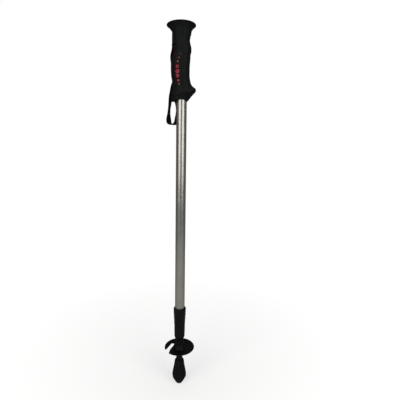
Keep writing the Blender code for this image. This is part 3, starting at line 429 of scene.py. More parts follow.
def turnProfile(profile, sides, base=ground, oval=1.0, offset=0.0, wave=None):
    # the profile's radius and height, in millimetres, carried round the axis; wave adds to the radius by
    # angle and height, and oval squeezes the piece from front to back
    angle = np.linspace(0, 2 * np.pi, sides, endpoint=False)
    radius, height = (np.repeat(column[:, None], sides, axis=1) for column in profile.T)
    if wave is not None:
        radius = radius + wave(angle[None, :], height, radius)
    x, y = radius * np.cos(angle) + offset, oval * radius * np.sin(angle)
    return np.stack([x, y, height], axis=-1) * mm + np.array([0, 0, base])


def turnedPiece(name, profile, material, sides=128, closed=True, **more):
    points = turnProfile(profile, sides, **more)
    return fillMesh(name, points, gridFaces(len(profile), sides, wrapRows=closed), material)


def standFor(piece, body, *nodes, slot=None):
    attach(piece, body)
    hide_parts(*nodes)
    return piece


def above(z):
    # height over the ground in millimetres
    return (z - ground) / mm


def ease(positions, values, at):
    # values between stations by monotone cubic steps, which never overshoot a station
    positions, values = np.asarray(positions, float), np.asarray(values, float)
    widths = np.diff(positions)
    slopes = np.diff(values) / widths
    tangents = np.zeros(len(values))
    rising = slopes[:-1] * slopes[1:] > 0
    before, after = slopes[:-1][rising], slopes[1:][rising]
    tangents[1:-1][rising] = 2 * before * after / (before + after)
    tangents[0], tangents[-1] = slopes[0], slopes[-1]
    index = np.clip(np.searchsorted(positions, at, side="right") - 1, 0, len(widths) - 1)
    width = widths[index]
    t = (at - positions[index]) / width
    return (
        values[index] * (1 + 2 * t) * (1 - t) ** 2 + values[index + 1] * t * t * (3 - 2 * t)
        + width * t * (1 - t) * (tangents[index] * (1 - t) - tangents[index + 1] * t)
    )


def smoothStep(value, low, high):
    t = np.clip((value - low) / (high - low), 0, 1)
    return t * t * (3 - 2 * t)


# grip

grip = {
    "length": 123.4, "bend": 6.0, "rings": 290, "sides": 240, "crowding": 0.03,  # rings are closer at both ends
    "seat": 11.0, "throat": 9.3, "step": 3.5,  # bore over the core, over the tube, and the height of its step
    "pocketGap": 0.3, "pocketSide": 0.6, "pocketBelow": 3.65,  # round the wedge, and below the strap's fold
    "ridgeShare": 0.084, "ridge": 0.35, "ridgeWidth": 0.02, "arch": 2.4, "archShare": 0.09,
    "dish": 0.95, "channel": 0.3, "channelSide": 1.8, "channelEnd": 4.0,  # depths, and room round the studs
    "stations": (
        # share of the length, rise towards the fingers, and reach to palm, fingers and each side
        (0.000, 0.12, 18.4, 10.8, 11.0), (0.038, 0.25, 18.8, 17.2, 11.8), (0.080, 0.33, 18.2, 24.6, 13.0),
        (0.120, 0.28, 17.0, 24.0, 12.7), (0.153, 0.22, 15.9, 21.2, 12.3), (0.193, 0.15, 15.2, 17.9, 12.3),
        (0.234, 0.08, 15.6, 15.8, 12.6), (0.282, 0.03, 16.9, 14.5, 13.0), (0.351, 0.00, 18.3, 13.4, 13.4),
        (0.455, 0.00, 19.0, 13.4, 13.6), (0.561, 0.00, 18.3, 14.3, 13.4), (0.617, 0.00, 16.3, 14.6, 13.2),
        (0.670, 0.00, 14.2, 16.0, 13.1), (0.708, 0.00, 13.6, 16.0, 12.9), (0.758, 0.00, 13.9, 14.5, 12.4),
        (0.809, 0.00, 14.9, 13.4, 12.3), (0.860, 0.00, 15.5, 14.2, 12.7), (0.892, 0.00, 16.2, 15.4, 13.6),
        (0.925, 0.00, 17.6, 15.9, 14.5), (0.962, 0.00, 20.7, 18.2, 16.4), (0.986, 0.00, 23.8, 21.0, 18.0),
        (1.000, 0.00, 26.1, 23.2, 19.2),
    ),
    "dots": (  # share of the length, distance towards the fingers, radius
        (0.606, -1.0, 0.9), (0.558, -3.4, 1.3), (0.509, -5.5, 1.7), (0.445, -6.3, 2.8),
        (0.383, -6.0, 3.4), (0.326, -5.5, 3.0), (0.264, -4.4, 2.1), (0.218, -3.2, 1.6),
    ),
    "bars": 4, "barShares": (0.607, 0.698), "barSize": (1.5, 5.0), "barTurn": 38.0, "barSlant": 40.0,
    "barDepth": 0.35,
}
gripTop = above(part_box("grip_cover")[1].z)
gripBottom = gripTop - grip["length"]


def gripColumns(share):
    shares, *columns = zip(*grip["stations"])
    return [ease(shares, column, share) for column in columns]


def fingerRise(x):
    # zero on the palm side and x on the finger side, with a soft bend between them
    return (x + np.hypot(x, grip["bend"])) / 2


def edgeArch(angle):
    # the lower edge rises over the tube on both sides
    return grip["arch"] * np.sin(angle) ** 2


def gripSurface(share, angle):
    # two half ellipses that meet at the sides and rise towards the fingers, with a soft ridge on each side above
    # the lower edge; millimetres
    rise, palm, finger, side = gripColumns(share)
    reach = np.where(np.cos(angle) > 0, finger, palm)
    bell = np.exp(-(((share - grip["ridgeShare"]) / grip["ridgeWidth"]) ** 2))
    ridge = grip["ridge"] * bell * np.abs(np.sin(angle))
    x, y = (reach + ridge) * np.cos(angle), (side + ridge) * np.sin(angle)
    arch = edgeArch(angle) * (1 - smoothStep(share, 0, grip["archShare"]))
    return x, y, gripBottom + share * grip["length"] + rise * fingerRise(x) + arch


def gripSideDepth(share, x):
    # how far from the middle the skin lies at a place on one side
    _, palm, finger, side = gripColumns(share)
    return side * np.sqrt(np.clip(1 - (x / np.where(x > 0, finger, palm)) ** 2, 0.04, 1))


def dotPlaces():
    # share of the length, place and radius of each stud
    share, x, radius = np.array(grip["dots"]).T
    height = gripBottom + share * grip["length"] + gripColumns(share)[0] * fingerRise(x)
    return share, x, height, radius


def barDistance(x, y, z):
    # distance to the nearest of the slanted bars on the palm's flanks, measured on the surface
    width, length = grip["barSize"]
    nearest = np.full(x.shape, 99.0)
    azimuth, radius = np.arctan2(y, x), np.hypot(x, y)
    slant = math.radians(grip["barSlant"])
    for share in np.linspace(*grip["barShares"], grip["bars"]):
        for flank in (1, -1):
            turn = math.pi - math.radians(grip["barTurn"])
            sideways = (flank * azimuth - turn) * radius
            upward = z - (gripBottom + share * grip["length"])
            lengthwise = upward * math.cos(slant) - sideways * math.sin(slant)
            lengthwise = np.clip(lengthwise, -length / 2, length / 2)
            away = np.hypot(
                upward - lengthwise * math.cos(slant), sideways + lengthwise * math.sin(slant)
            ) - width / 2
            nearest = np.where(flank * y > 0, np.minimum(nearest, away), nearest)
    return nearest


def makeGripCover():
    # the grip's skin from lower edge to rim, then back down its bore, as one endless sheet
    even = np.linspace(0, 1, grip["rings"])
    share = (even - grip["crowding"] * np.sin(4 * np.pi * even) / (2 * np.pi))[:, None]
    angle = np.linspace(0, 2 * np.pi, grip["sides"], endpoint=False)[None, :]
    share, angle = np.broadcast_arrays(share, angle)
    x, y, z = gripSurface(share, angle)

    # dishes round the studs, the shallow channel that joins them, and the bars on the palm
    _, dotX, dotZ, dotRadius = dotPlaces()
    away = np.hypot(x[..., None] - dotX, z[..., None] - dotZ) - dotRadius
    onSide = smoothStep(np.abs(y), 4.0, 8.0)
    dish = grip["dish"] * (1 - smoothStep(away.min(axis=-1), 0.1, 0.9))
    order = np.argsort(dotZ)
    middle = np.interp(z, dotZ[order], dotX[order])
    halfWidth = np.interp(z, dotZ[order], dotRadius[order]) + grip["channelSide"]
    inColumn = smoothStep(z, dotZ.min() - grip["channelEnd"], dotZ.min())
    inColumn = inColumn * (1 - smoothStep(z, dotZ.max(), dotZ.max() + grip["channelEnd"]))
    channel = inColumn * (1 - smoothStep(np.abs(x - middle), halfWidth * 0.55, halfWidth))
    sunk = onSide * (dish + grip["channel"] * channel)
    # painted shade: where the rubber is sunk round the studs it is marked for a dark red that stands for the red core
    # in shadow
    redRecessShade = np.clip(onSide * (0.85 * channel + dish), 0, 1)
    bar = 1 - smoothStep(barDistance(x, y, z), -0.2, 0.35)
    radius = np.hypot(x, y)
    y = y - np.sign(y) * sunk
    x, y = x * (1 - grip["barDepth"] * bar / radius), y * (1 - grip["barDepth"] * bar / radius)

    # the pocket that takes the wedge and the strap's fold
    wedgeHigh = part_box("strap_wedge")[1]
    pocketLow = above(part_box("wrist_strap")[1].z) - grip["pocketBelow"]
    pocketHigh = above(wedgeHigh.z) + grip["pocketGap"]
    inPocket = (np.abs(y) < wedgeHigh.y / mm + grip["pocketSide"]) & (x < 0) & (z > pocketLow) & (z < pocketHigh)
    x = np.where(inPocket, -grip["seat"] - 0.1, x)

    # the bore: down from the rim, a step inwards over the core's end, and out at the lower edge
    top, low = gripTop, gripBottom
    boreHeights = np.array([top, top, top - 60, low + grip["step"], low + grip["step"], low + 0.6, low + 0.2])
    boreRadii = np.array([grip["seat"] + 6, grip["seat"], grip["seat"], grip["seat"], grip["throat"],
                          grip["throat"], grip["throat"] + 0.5])
    boreX, boreY = boreRadii[:, None] * np.cos(angle[0]), boreRadii[:, None] * np.sin(angle[0])
    boreZ = np.repeat(boreHeights[:, None], grip["sides"], axis=1)
    boreZ[-2:] += edgeArch(angle[0])
    points = np.stack([np.vstack([x, boreX]), np.vstack([y, boreY]), np.vstack([z, boreZ])], axis=-1) * mm
    points[..., 2] += ground
    still = np.zeros(boreX.shape)
    cover = fillMesh(
        "grip_cover_skin", points, gridFaces(*points.shape[:2], wrapRows=True), gripRubber,
        {"redRecessShade": np.vstack([redRecessShade, still]), "palmBar": np.vstack([bar, still])}, 50.0,
    )
    return standFor(cover, "upper", "grip_cover", slot="grip_rubber")


stud = {
    "sides": 36, "below": 0.05,  # millimetres that the studs' rims lie below the grip's skin
    "ringAt": 0.72, "ringPower": 1.2, "dimple": 0.75, "crown": 0.3,  # shares of the radius, crown and radius
    "feet": (-1.2, -3.5),  # how far inwards the sides go, in two rings
    "rings": (0.0, 0.12, 0.24, 0.36, 0.48, 0.58, 0.66, 0.72, 0.78, 0.84, 0.9, 0.95, 0.985, 1.0, 1.0, 1.0),
    # paleFrom and paleTo bound each ring's painted highlight, as shares of the radius; the last pair are the radii
    # below which studs get the grey-pink painted highlight
    "paleFrom": (0.5, 0.66), "paleTo": (0.86, 0.99), "smallStudHighlight": (1.4, 2.7),  # shares of the radius, and radii
}


def makeStuds():
    # round studs on both sides, laid on the grip's curve. Their height is a raised cosine from the dimple to the
    # ring, and a quarter cosine to a power from the ring to the rim
    share, dotX, dotZ, dotRadius = dotPlaces()
    out = np.array(stud["rings"])
    outer = np.clip((out - stud["ringAt"]) / (1 - stud["ringAt"]), 0, 1)
    inside = 1 - stud["dimple"] * (1 + np.cos(np.pi * out / stud["ringAt"])) / 2
    crest = np.where(out > stud["ringAt"], np.cos(np.pi / 2 * outer) ** stud["ringPower"], inside)
    # pale weighs the painted highlight on the raised ring
    pale = smoothStep(out, *stud["paleFrom"]) * (1 - smoothStep(out, *stud["paleTo"]))
    angle = np.linspace(0, 2 * np.pi, stud["sides"], endpoint=False)
    points, faces, rings, smallStudHighlight = [], [], [], []
    for s, x0, z0, radius in zip(share, dotX, dotZ, dotRadius):
        u, v = radius * out[:, None] * np.cos(angle), radius * out[:, None] * np.sin(angle)
        height = stud["crown"] * radius * (crest - 1)
        height[-2:] = stud["feet"]
        near = (z0 + v - gripBottom - gripColumns(s)[0] * fingerRise(x0)) / grip["length"]
        y = gripSideDepth(near, x0 + u) - stud["below"] + height[:, None]
        for side in (1, -1):
            faces.append(gridFaces(len(out), len(angle), start=sum(map(len, points))))
            points.append(np.stack([x0 + u, side * y, z0 + v], axis=-1).reshape(-1, 3))
            rings.append(np.repeat(pale, len(angle)))
            # the smaller the stud, the more a painted highlight greys it
            smallStudHighlight.append(np.full(rings[-1].shape, 1 - smoothStep(radius, *stud["smallStudHighlight"])))
    return np.vstack(points), np.vstack(faces), np.concatenate(rings), np.concatenate(smallStudHighlight)


core = {"radii": (9.3, 10.7), "softening": 0.3, "sides": 96}


def makeGripCore():
    # the sleeve between tube and cover, and its studs
    low, high = (above(corner.z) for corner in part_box("grip_core"))
    bore, outer = core["radii"]
    profile = softProfile([(outer, low), (outer, high), (bore, high), (bore, low)], core["softening"])
    sleeve = turnProfile(profile, core["sides"])
    points, faces, rings, smallStudHighlight = makeStuds()
    studs = points * mm + np.array([0, 0, ground])
    allPoints = np.vstack([sleeve.reshape(-1, 3), studs])
    allFaces = np.vstack([gridFaces(len(profile), core["sides"], wrapRows=True), faces + sleeve.size // 3])
    still = np.zeros(sleeve.size // 3)
    marks = {"ring": np.append(still, rings), "smallStudHighlight": np.append(still, smallStudHighlight)}
    piece = fillMesh("grip_core_studs", allPoints, allFaces, redCore, marks, 60.0)
    return standFor(piece, "upper", "grip_core", slot="grip_red")


cap = {
    "sides": 160, "narrower": 0.8, "gap": 0.3, "softening": 0.5, "plugRadius": 8.0, "plugSeat": 0.5,
    "crown": (  # share of the reach, millimetres below the top
        (0.0, 0.0), (0.6, 0.25), (0.64, 0.3), (0.66, 0.65), (0.69, 0.7), (0.71, 0.4), (0.86, 0.8),
    ),
    "rim": ((1.4, 1.4), (0.35, 2.1), (0.0, 2.7)),  # millimetres inside the reach and below the top
    "underside": ((0.1, 0.4), (0.5, 0.0)),  # millimetres inside the reach and above the base
}


def makeCap():
    # an oval crowned plate with a rounded rim and a shallow ring groove, over a plug in the tube; both are
    # profiles turned round the axis, the plate's squeezed from front to back
    low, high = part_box("pommel_cap")
    reach, side = (high.x - low.x) / 2 / mm, (high.y - low.y) / 2 / mm - cap["narrower"]
    top, base, foot, sides = above(high.z), gripTop + cap["gap"], above(low.z), cap["sides"]
    profile = [(share * reach, top - drop) for share, drop in cap["crown"]]
    profile += [(reach - inset, top - drop) for inset, drop in cap["rim"]]
    profile += [(reach - inset, base + rise) for inset, rise in cap["underside"]] + [(0, base)]
    plate = softProfile(profile, cap["softening"], closed=False)
    seat, radius = base + cap["plugSeat"], cap["plugRadius"]
    plug = softProfile([(0, seat), (radius, seat), (radius, foot), (0, foot)], cap["softening"], closed=False)
    parts = [
        turnProfile(plate, sides, oval=side / reach, offset=(high.x + low.x) / 2 / mm), turnProfile(plug, sides),
    ]
    points = np.vstack([part.reshape(-1, 3) for part in parts])
    faces = [gridFaces(len(plate), sides), gridFaces(len(plug), sides, start=len(plate) * sides)]
    piece = fillMesh("pommel_plate", points, np.vstack(faces), capNylon)
    return standFor(piece, "upper", "pommel_cap", slot="black_plastic")


wedgeLock = {
    "across": 49, "upright": 121,  # points of the face's grid
    "ovalSide": 13.7, "rounding": 1.1, "bottomSlope": 1.6, "topSlope": 0.9,
    "ribDepth": 0.28, "ribPitch": 2.4, "ribsFrom": (1.6, 2.2), "ribsTo": (8.2, 8.8), "ribShare": 0.8,
}


def makeWedge():
    # the lock's face is part of an upright oval whose edges fall off in a quarter circle, with three shallow
    # cosine ribs near its top; flat sides join it to a flat back
    low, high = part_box("strap_wedge")
    half, reach, back = high.y / mm, -low.x / mm, high.x / mm
    bottom, top, rows, columns = above(low.z), above(high.z), wedgeLock["across"], wedgeLock["upright"]
    u, v = np.meshgrid(np.linspace(-1, 1, rows), np.linspace(0, 1, columns), indexing="ij")
    y, z = half * u, bottom + (top - bottom) * v
    below = top - z
    face = reach * np.sqrt(1 - (y / wedgeLock["ovalSide"]) ** 2)
    edge = np.minimum.reduce([
        (1 - np.abs(u)) * half, (z - bottom) / wedgeLock["bottomSlope"], below / wedgeLock["topSlope"],
    ])
    inwards = 1 - np.clip(edge / wedgeLock["rounding"], 0, 1)
    drop = wedgeLock["rounding"] * (1 - np.sqrt(np.clip(1 - inwards**2, 0, 1)))
    inRibs = smoothStep(below, *wedgeLock["ribsFrom"]) * (1 - smoothStep(below, *wedgeLock["ribsTo"]))
    wave = np.cos(2 * np.pi * below / wedgeLock["ribPitch"]) * (np.abs(u) < wedgeLock["ribShare"])
    front = np.stack([drop - face - wedgeLock["ribDepth"] * inRibs * (wave - 1), y, z], axis=-1)
    rear = np.stack([np.full(y.shape, back), y, z], axis=-1)
    points = np.concatenate([front.reshape(-1, 3), rear.reshape(-1, 3)]) * mm + np.array([0, 0, ground])
    count = rows * columns
    faces = [gridFaces(rows, columns, wrapColumns=False), gridFaces(rows, columns, wrapColumns=False, start=count)]
    index = np.arange(count).reshape(rows, columns)
    for line in (index[0], index[-1], index[:, 0], index[:, -1]):
        faces.append(np.stack([line[:-1], line[1:], line[1:] + count, line[:-1] + count], axis=-1))
    piece = fillMesh("wedge_lock", points, np.vstack(faces), capNylon, sharpAngle=45.0)
    return standFor(piece, "wedge", "strap_wedge", slot="black_plastic")


# strap

strap = {
    "width": 14.0, "thickness": 1.2, "edgePower": 14, "edgePoints": 19,
    "foldRadius": 0.9, "foldReach": 15.2, "cup": 0.8, "clearance": 0.45, "steps": 10, "foldSteps": 14,
    "wrap": (  # turn from the palm's middle in degrees, millimetres below the fold
        (0.0, 2.0), (0.0, 5.0), (10.0, 9.5), (31.0, 17.0),
        (46.0, 26.0), (52.0, 36.0), (54.0, 45.0), (55.0, 53.0),
    ),
    "loop": (  # millimetres from the fold's axis, and the direction across the webbing
        ((0.2, 14.6, -61.9), (0.75, 0.66, 0.0)), ((-3.0, 15.0, -71.9), (0.55, 0.83, 0.0)),
        ((-6.6, 16.0, -81.9), (0.28, 0.96, 0.0)), ((-7.9, 16.5, -92.9), (0.17, 0.98, 0.0)),
        ((-9.0, 16.9, -101.4), (0.12, 0.99, 0.0)), ((-9.6, 17.0, -110.9), (0.24, 0.97, 0.0)),
        ((-9.8, 17.0, -119.4), (0.48, 0.87, 0.02)), ((-8.4, 16.4, -126.0), (0.49, 0.87, 0.06)),
        ((-1.6, 12.4, -128.8), (0.49, 0.87, 0.06)), ((4.9, 8.8, -125.8), (0.49, 0.87, 0.03)),
        ((6.6, 7.9, -119.4), (0.48, 0.87, 0.0)), ((7.1, 9.8, -112.0), (0.36, 0.93, 0.0)),
        ((7.0, 12.4, -103.4), (0.30, 0.95, 0.0)), ((5.0, 15.8, -92.9), (0.34, 0.94, 0.0)),
        ((2.2, 15.8, -81.9), (0.48, 0.87, 0.0)), ((1.6, 13.6, -71.9), (0.60, 0.80, 0.0)),
        ((2.2, 12.4, -61.9), (0.75, 0.66, 0.0)),
    ),
}


def catmull(points, steps):
    # a smooth curve through the points, with equally many steps between each two
    points = np.asarray(points, float)
    padded = np.vstack([2 * points[0] - points[1], points, 2 * points[-1] - points[-2]])
    a, b, c, d = padded[:-3, None], padded[1:-2, None], padded[2:-1, None], padded[3:, None]
    t = (np.arange(steps) / steps)[None, :, None]
    curve = 0.5 * (2 * b + (c - a) * t + (2 * a - 5 * b + 4 * c - d) * t**2 + (3 * b - a - 3 * c + d) * t**3)
    return np.vstack([curve.reshape(-1, points.shape[1]), points[-1:]])


def onPalm(turn, drop, lift, foldHeight):
    # place on the grip's surface, lifted off it, and the direction across the webbing that lies there
    _, palm, _, side = gripColumns(np.array((foldHeight - drop - gripBottom) / grip["length"]))
    cos, sin = math.cos(math.radians(turn)), math.sin(math.radians(turn))
    across = np.array([(palm + lift) * sin, (side + lift) * cos, 0.0])
    place = (strap["foldReach"] - (palm + lift) * cos, (side + lift) * sin, -drop)
    return place, across / np.linalg.norm(across)


def makeStrap():
    # a flat section whose thickness falls off to its edges by a high power, carried along one endless smooth
    # curve: down over the outer leg, round the loop, up the inner leg and back over the fold
    half, fold, cup = strap["thickness"] / 2, strap["foldRadius"], strap["cup"]
    foldHeight = above(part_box("wrist_strap")[1].z) - fold - half
    inner = strap["clearance"] + half
    level = np.array((0.0, 1.0, 0.0))
    route = [((-fold, 0, 0), level, 0)]
    route += [(*onPalm(turn, drop, inner + 2 * fold, foldHeight), cup) for turn, drop in strap["wrap"]]
    route += [(place, np.array(across), 0) for place, across in strap["loop"]]
    route += [(*onPalm(turn, drop, inner, foldHeight), -cup) for turn, drop in reversed(strap["wrap"])]
    route += [((fold, 0, 0), level, 0)]
    places, widths, cups = zip(*route)
    middle, across = catmull(places, strap["steps"]), catmull(widths, strap["steps"])
    cups = catmull([[value] for value in cups], strap["steps"]).ravel()
    bend = np.arange(1, strap["foldSteps"]) * np.pi / strap["foldSteps"]
    middle = np.vstack([middle, fold * np.column_stack([np.cos(bend), 0 * bend, np.sin(bend)])])
    across = np.vstack([across, np.tile(level, (len(bend), 1))])
    cups = np.append(cups, 0 * bend)
    across /= np.linalg.norm(across, axis=1, keepdims=True)
    normal = np.cross(np.roll(middle, -1, axis=0) - np.roll(middle, 1, axis=0), across)
    normal /= np.linalg.norm(normal, axis=1, keepdims=True)

    column = np.sin(np.linspace(-np.pi / 2, np.pi / 2, strap["edgePoints"]))
    thick = half * (1 - np.abs(column) ** strap["edgePower"]) ** 0.5
    a = np.concatenate([column, column[-2:0:-1]])
    b = np.concatenate([thick, -thick[-2:0:-1]])
    points = (
        middle[:, None] + across[:, None] * (strap["width"] / 2 * a)[None, :, None]
        + normal[:, None] * (b[None, :, None] + cups[:, None, None] * (a**2)[None, :, None])
    )
    points = (points + np.array([-strap["foldReach"], 0, foldHeight])) * mm + np.array([0, 0, ground])
    lengths = np.append(0, np.cumsum(np.linalg.norm(np.diff(middle, axis=0), axis=1)))
    along = np.repeat(lengths[:, None], len(a), axis=1)
    acrossMm = np.repeat((strap["width"] / 2 * a)[None, :], len(middle), axis=0)
    piece = fillMesh(
        "wrist_strap_webbing", points, gridFaces(*points.shape[:2], wrapRows=True), webbing,
        {"along": along, "across": acrossMm}, 60.0,
    )
    standFor(piece, "strap", "wrist_strap", slot="webbing")
    return piece


makeGripCover()
makeGripCore()
makeCap()
makeWedge()
makeStrap()
print("grip, cap, lock and strap are made")


# tubes and collars

def makeTube(name, node, body, material, edge=0.25):
    # a drawn tube: outer wall, lower end, bore, upper end, with the cut edges broken
    low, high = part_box(node)
    outer = high.x / mm
    inner, bottom, top = outer - 0.7, above(low.z), above(high.z)
    profile = softProfile([(outer, bottom), (outer, top), (inner, top), (inner, bottom)], edge)
    return standFor(turnedPiece(name, profile, material), body, node, slot="tube_alloy")


collar = {
    "lip": 2.7, "sleeveGap": 0.3, "flare": 1.05, "flutes": 16, "fluteDepth": 0.3,
    "bands": (0.0, 0.55), "bandWidth": 0.35,
}


def makeUpperCollar():
    # a sleeve that widens to a rounded mouth, with two fine bands near its lower end
    low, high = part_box("upper_collar")
    outer = high.x / mm - collar["flare"]
    bottom, top = above(low.z), above(high.z) - 1.2
    length, flare = top - bottom, collar["flare"]
    sleeve, bore = 9.3, 8.3
    outside = [
        (outer - 0.4, bottom), (outer, bottom + 0.4), (outer, bottom + 2.4), (outer - 0.3, bottom + 2.6),
        (outer - 0.3, bottom + 3.1), (outer, bottom + 3.3), (outer, top - 0.85 * length),
        (outer + 0.35 * flare, top - 0.68 * length), (outer + 0.65 * flare, top - 0.5 * length),
        (outer + 0.88 * flare, top - 0.3 * length), (outer + flare, top - 0.15 * length),
        (outer + flare, top - 0.8), (outer + flare - 0.4, top), (outer + 0.15 * flare, top),
        (outer - 0.2, top - 0.5), (sleeve, top - 0.5),
    ]
    inside = [(sleeve, bottom + collar["lip"]), (bore, bottom + collar["lip"]), (bore, bottom)]
    profile = softProfile(outside + inside, 0.35)
    return standFor(turnedPiece("upper_collar_sleeve", profile, collarNylon), "upper", "upper_collar", slot="black_plastic")


def makeMiddleCollar():
    # the collar that the hand turns: shallow upright flutes between two plain bands, and a chamfered foot
    low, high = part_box("middle_collar")
    bottom, top = above(low.z), above(high.z)
    length, outer, swell = top - bottom, high.x / mm - 0.5, 0.5
    sleeve, bore = 8.3, 7.3

    def flutes(angle, height, radius):
        share = (height - bottom) / length
        weight = smoothStep(share, 0.13, 0.19) * (1 - smoothStep(share, 0.70, 0.76)) * (radius > sleeve + 0.6)
        return -collar["fluteDepth"] * weight * (0.5 - 0.5 * np.cos(collar["flutes"] * angle)) ** 2

    outside = [
        (outer - 1.0, bottom), (outer, bottom + 0.13 * length), (outer + 0.05, bottom + 0.19 * length),
        (outer + 0.12, bottom + 0.32 * length), (outer + 0.2, bottom + 0.45 * length),
        (outer + 0.26, bottom + 0.58 * length), (outer + 0.3, bottom + 0.7 * length),
        (outer + 0.35, bottom + 0.76 * length), (outer, bottom + 0.78 * length), (outer, bottom + 0.81 * length),
        (outer + 0.4, bottom + 0.84 * length), (outer + swell, bottom + 0.98 * length), (outer + swell - 0.4, top),
        (sleeve, top),
    ]
    inside = [(sleeve, bottom + collar["lip"]), (bore, bottom + collar["lip"]), (bore, bottom)]
    profile = softProfile(outside + inside, 0.3)
    piece = turnedPiece("middle_collar_sleeve", profile, collarNylon, sides=256, wave=flutes)
    return standFor(piece, "middle", "middle_collar", slot="black_plastic")


makeTube("upper_tube_wall", "upper_tube", "upper", outerAluminium)
makeTube("middle_tube_wall", "middle_tube", "middle", innerAluminium)
makeTube("lower_tube_wall", "lower_tube", "lower", innerAluminium)
makeUpperCollar()
makeMiddleCollar()
print("tubes and collars are made")


# basket, ferrule and foot

basket = {
    "height": 73.0, "sheet": 1.7, "dish": 0.9, "edge": 0.6, "hubRadius": 8.3, "flare": (0.8, 1.4, 3.0),
    "slotOffset": 15.6, "slotWidth": 7.0, "slotMouth": 14.0, "slotEnd": -6.0, "funnel": 15.0, "slotTurn": 18.0,
}


def makeBasket():
    # a thin dished disc with a moulded rim bead and a hub, cut by the slot that clips on the other pole
    low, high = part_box("basket")
    rim, top, bottom = high.x / mm, above(high.z), above(low.z)
    half, middle, hub, edge = basket["sheet"] / 2, basket["height"], basket["hubRadius"], basket["edge"]
    radii = np.linspace(hub + 4, rim - 2.2, 9)
    sheet = middle - basket["dish"] * np.sin(np.pi / 2 * (rim - radii) / (rim - hub))
    neck = 7.2
    profile = [(6.5, top), (neck, top)]
    profile += [(neck + more, top - (top - middle) * 0.25 * (i + 1)) for i, more in enumerate(basket["flare"])]
    profile += list(zip(radii, sheet + half))
    profile += [
        (rim - 1.6, middle + half), (rim - edge, middle + half + 0.1), (rim, middle + 0.4 * half),
        (rim, middle - 0.4 * half), (rim - edge, middle - half), (rim - 1.6, middle - half),
    ]
    profile += list(zip(radii[::-1], sheet[::-1] - half))
    under = middle - basket["dish"] - half
    profile += [(hub + 1, under), (hub, under - 1), (hub, bottom + edge), (hub - edge, bottom), (6.5, bottom)]
    piece = turnedPiece("basket_disc", softProfile(profile, 0.5, steps=3), basketNylon, sides=192)

    width, mouth = basket["slotWidth"] / 2, basket["slotMouth"] / 2
    spread = mouth + (60 - rim) * (mouth - width) / (rim - basket["funnel"])
    turn = np.pi / 2 + np.pi * np.linspace(0, 1, 25)
    centre = basket["slotEnd"] + width
    outline = np.vstack([
        [(60, spread), (basket["funnel"], width)],
        np.column_stack([centre + width * np.cos(turn), width * np.sin(turn)]),
        [(basket["funnel"], -width), (60, -spread)],
    ])
    aim = math.radians(270 - basket["slotTurn"])
    along, aside = outline[:, 0], outline[:, 1] - basket["slotOffset"]
    x, y = along * math.cos(aim) - aside * math.sin(aim), along * math.sin(aim) + aside * math.cos(aim)
    walls = np.stack([np.stack([x, y, np.full(len(x), h)], axis=-1) for h in (bottom - 1, top + 1)]) * mm
    walls[..., 2] += ground
    count = len(x)
    mesh = bpy.data.meshes.new("slot_cutter")
    caps = [list(range(count)), list(range(count, 2 * count))]
    mesh.from_pydata(walls.reshape(-1, 3).tolist(), [], gridFaces(2, count).tolist() + caps)
    bm = bmesh.new()
    bm.from_mesh(mesh)
    bmesh.ops.recalc_face_normals(bm, faces=bm.faces)
    bm.to_mesh(mesh)
    bm.free()
    cutter = bpy.data.objects.new("slot_cutter", mesh)
    scene.collection.objects.link(cutter)
    cut = piece.modifiers.new("slot", "BOOLEAN")
    cut.object, cut.solver = cutter, "EXACT"
    soften = piece.modifiers.new("edges", "BEVEL")
    soften.width, soften.segments, soften.limit_method, soften.angle_limit = 0.25 * mm, 2, "ANGLE", math.radians(60)
    done = bpy.data.meshes.new_from_object(piece.evaluated_get(bpy.context.evaluated_depsgraph_get()))
    piece.modifiers.clear()
    piece.data = done
    done.shade_smooth()
    done.set_sharp_from_angle(angle=math.radians(38))
    bpy.data.objects.remove(cutter)
    return standFor(piece, "basket", "basket", slot="black_plastic")


def makeFerrule():
    # the turned end piece: spigot, shoulder, basket seat, neck and nose round the tip's holder
    low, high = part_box("ferrule")
    nose, spigotTop = above(low.z), above(high.z)
    shoulder, hubTop, hubBottom = 92.0, above(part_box("basket")[1].z), above(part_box("basket")[0].z)
    footTop = above(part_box("rubber_foot")[1].z)
    profile = softProfile([
        (0, spigotTop), (5.0, spigotTop), (6.0, spigotTop - 1), (6.0, shoulder), (7.2, shoulder), (7.2, hubTop + 1.4),
        (6.2, hubTop + 0.3), (6.2, hubBottom - 1), (5.95, hubBottom - 2.5), (5.95, footTop), (4.9, nose + 1),
        (4.3, nose), (3.9, nose), (3.9, nose + 11.6), (0, nose + 11.6),
    ], 0.25, closed=False)
    return standFor(
        turnedPiece("ferrule_body", profile, collarNylon, sides=96, closed=False), "lower", "ferrule", slot="black_plastic"
    )


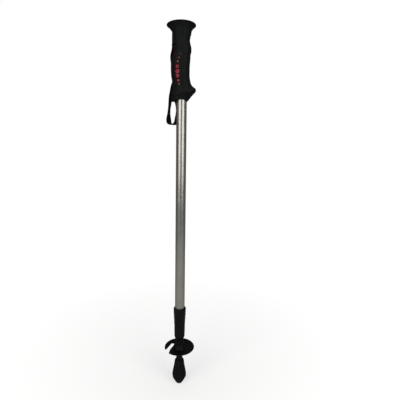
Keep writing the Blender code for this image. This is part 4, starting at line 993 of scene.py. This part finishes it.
foot = {
    "flutes": 12, "fluteDepth": 0.9, "flutesEnd": 6.0, "flutesFade": 12.0, "sole": 8.0,
    "profile": (  # share of the height, radius
        (0.0, 3.8), (0.02, 5.4), (0.06, 6.9), (0.12, 8.7), (0.18, 10.4), (0.24, 12.0), (0.29, 12.9), (0.34, 13.2),
        (0.43, 12.9), (0.53, 12.2), (0.667, 10.9), (0.833, 9.5), (0.942, 8.8), (0.983, 8.1), (1.0, 7.1),
    ),
}


def makeFoot():
    # a fluted bell with a domed sole, a parting line above it and a well for the tip
    height = above(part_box("rubber_foot")[1].z)
    share, radius = np.array(foot["profile"]).T
    at = np.linspace(0, 1, 90) ** 1.15
    outside = np.column_stack([ease(share, radius, at), at * height])
    seam = np.exp(-((outside[:, 1] - 10.5) / 0.45) ** 2)
    outside[:, 0] -= 0.28 * seam
    inside = np.array([
        (6.4, height), (6.25, height - 1), (5.2, 17.5), (5.2, foot["sole"]), (0, foot["sole"]),
    ])
    tread = np.array([(0, 0.0), (3.6, 0.0)])
    profile = np.vstack([tread, outside, softProfile(inside, 0.3, closed=False)])

    def flutes(angle, z, r):
        fade = smoothStep(height - foot["flutesEnd"] - z, 0, foot["flutesFade"]) * smoothStep(z, 1.0, 3.5)
        return -foot["fluteDepth"] * fade * (r > 7.0) * (0.5 - 0.5 * np.cos(foot["flutes"] * angle)) ** 2

    piece = turnedPiece("rubber_foot_bell", profile, footRubber, sides=240, closed=False, wave=flutes)
    return standFor(piece, "foot", "rubber_foot", slot="foot_rubber")


makeBasket()
makeFerrule()
makeFoot()
print("basket, ferrule and foot are made")


# what stays as the frame has it

finishes = {
    "strap_end": webbing,
    "middle_plug": naturalNylon, "middle_cone": naturalNylon, "middle_expander": naturalNylon,
    "lower_plug": naturalNylon, "lower_cone": naturalNylon, "lower_expander": naturalNylon,
    "middle_screw": zincSteel, "middle_nut": zincSteel, "lower_screw": zincSteel, "lower_nut": zincSteel,
    "tip_holder": zincSteel, "foot_washer": zincSteel, "tip": carbide,
}
for node, material in finishes.items():
    piece = bpy.data.objects[node]
    if not piece.material_slots:
        piece.data.materials.append(material)
    for slot in piece.material_slots:
        slot.material = material
print("carried-over pieces are finished")
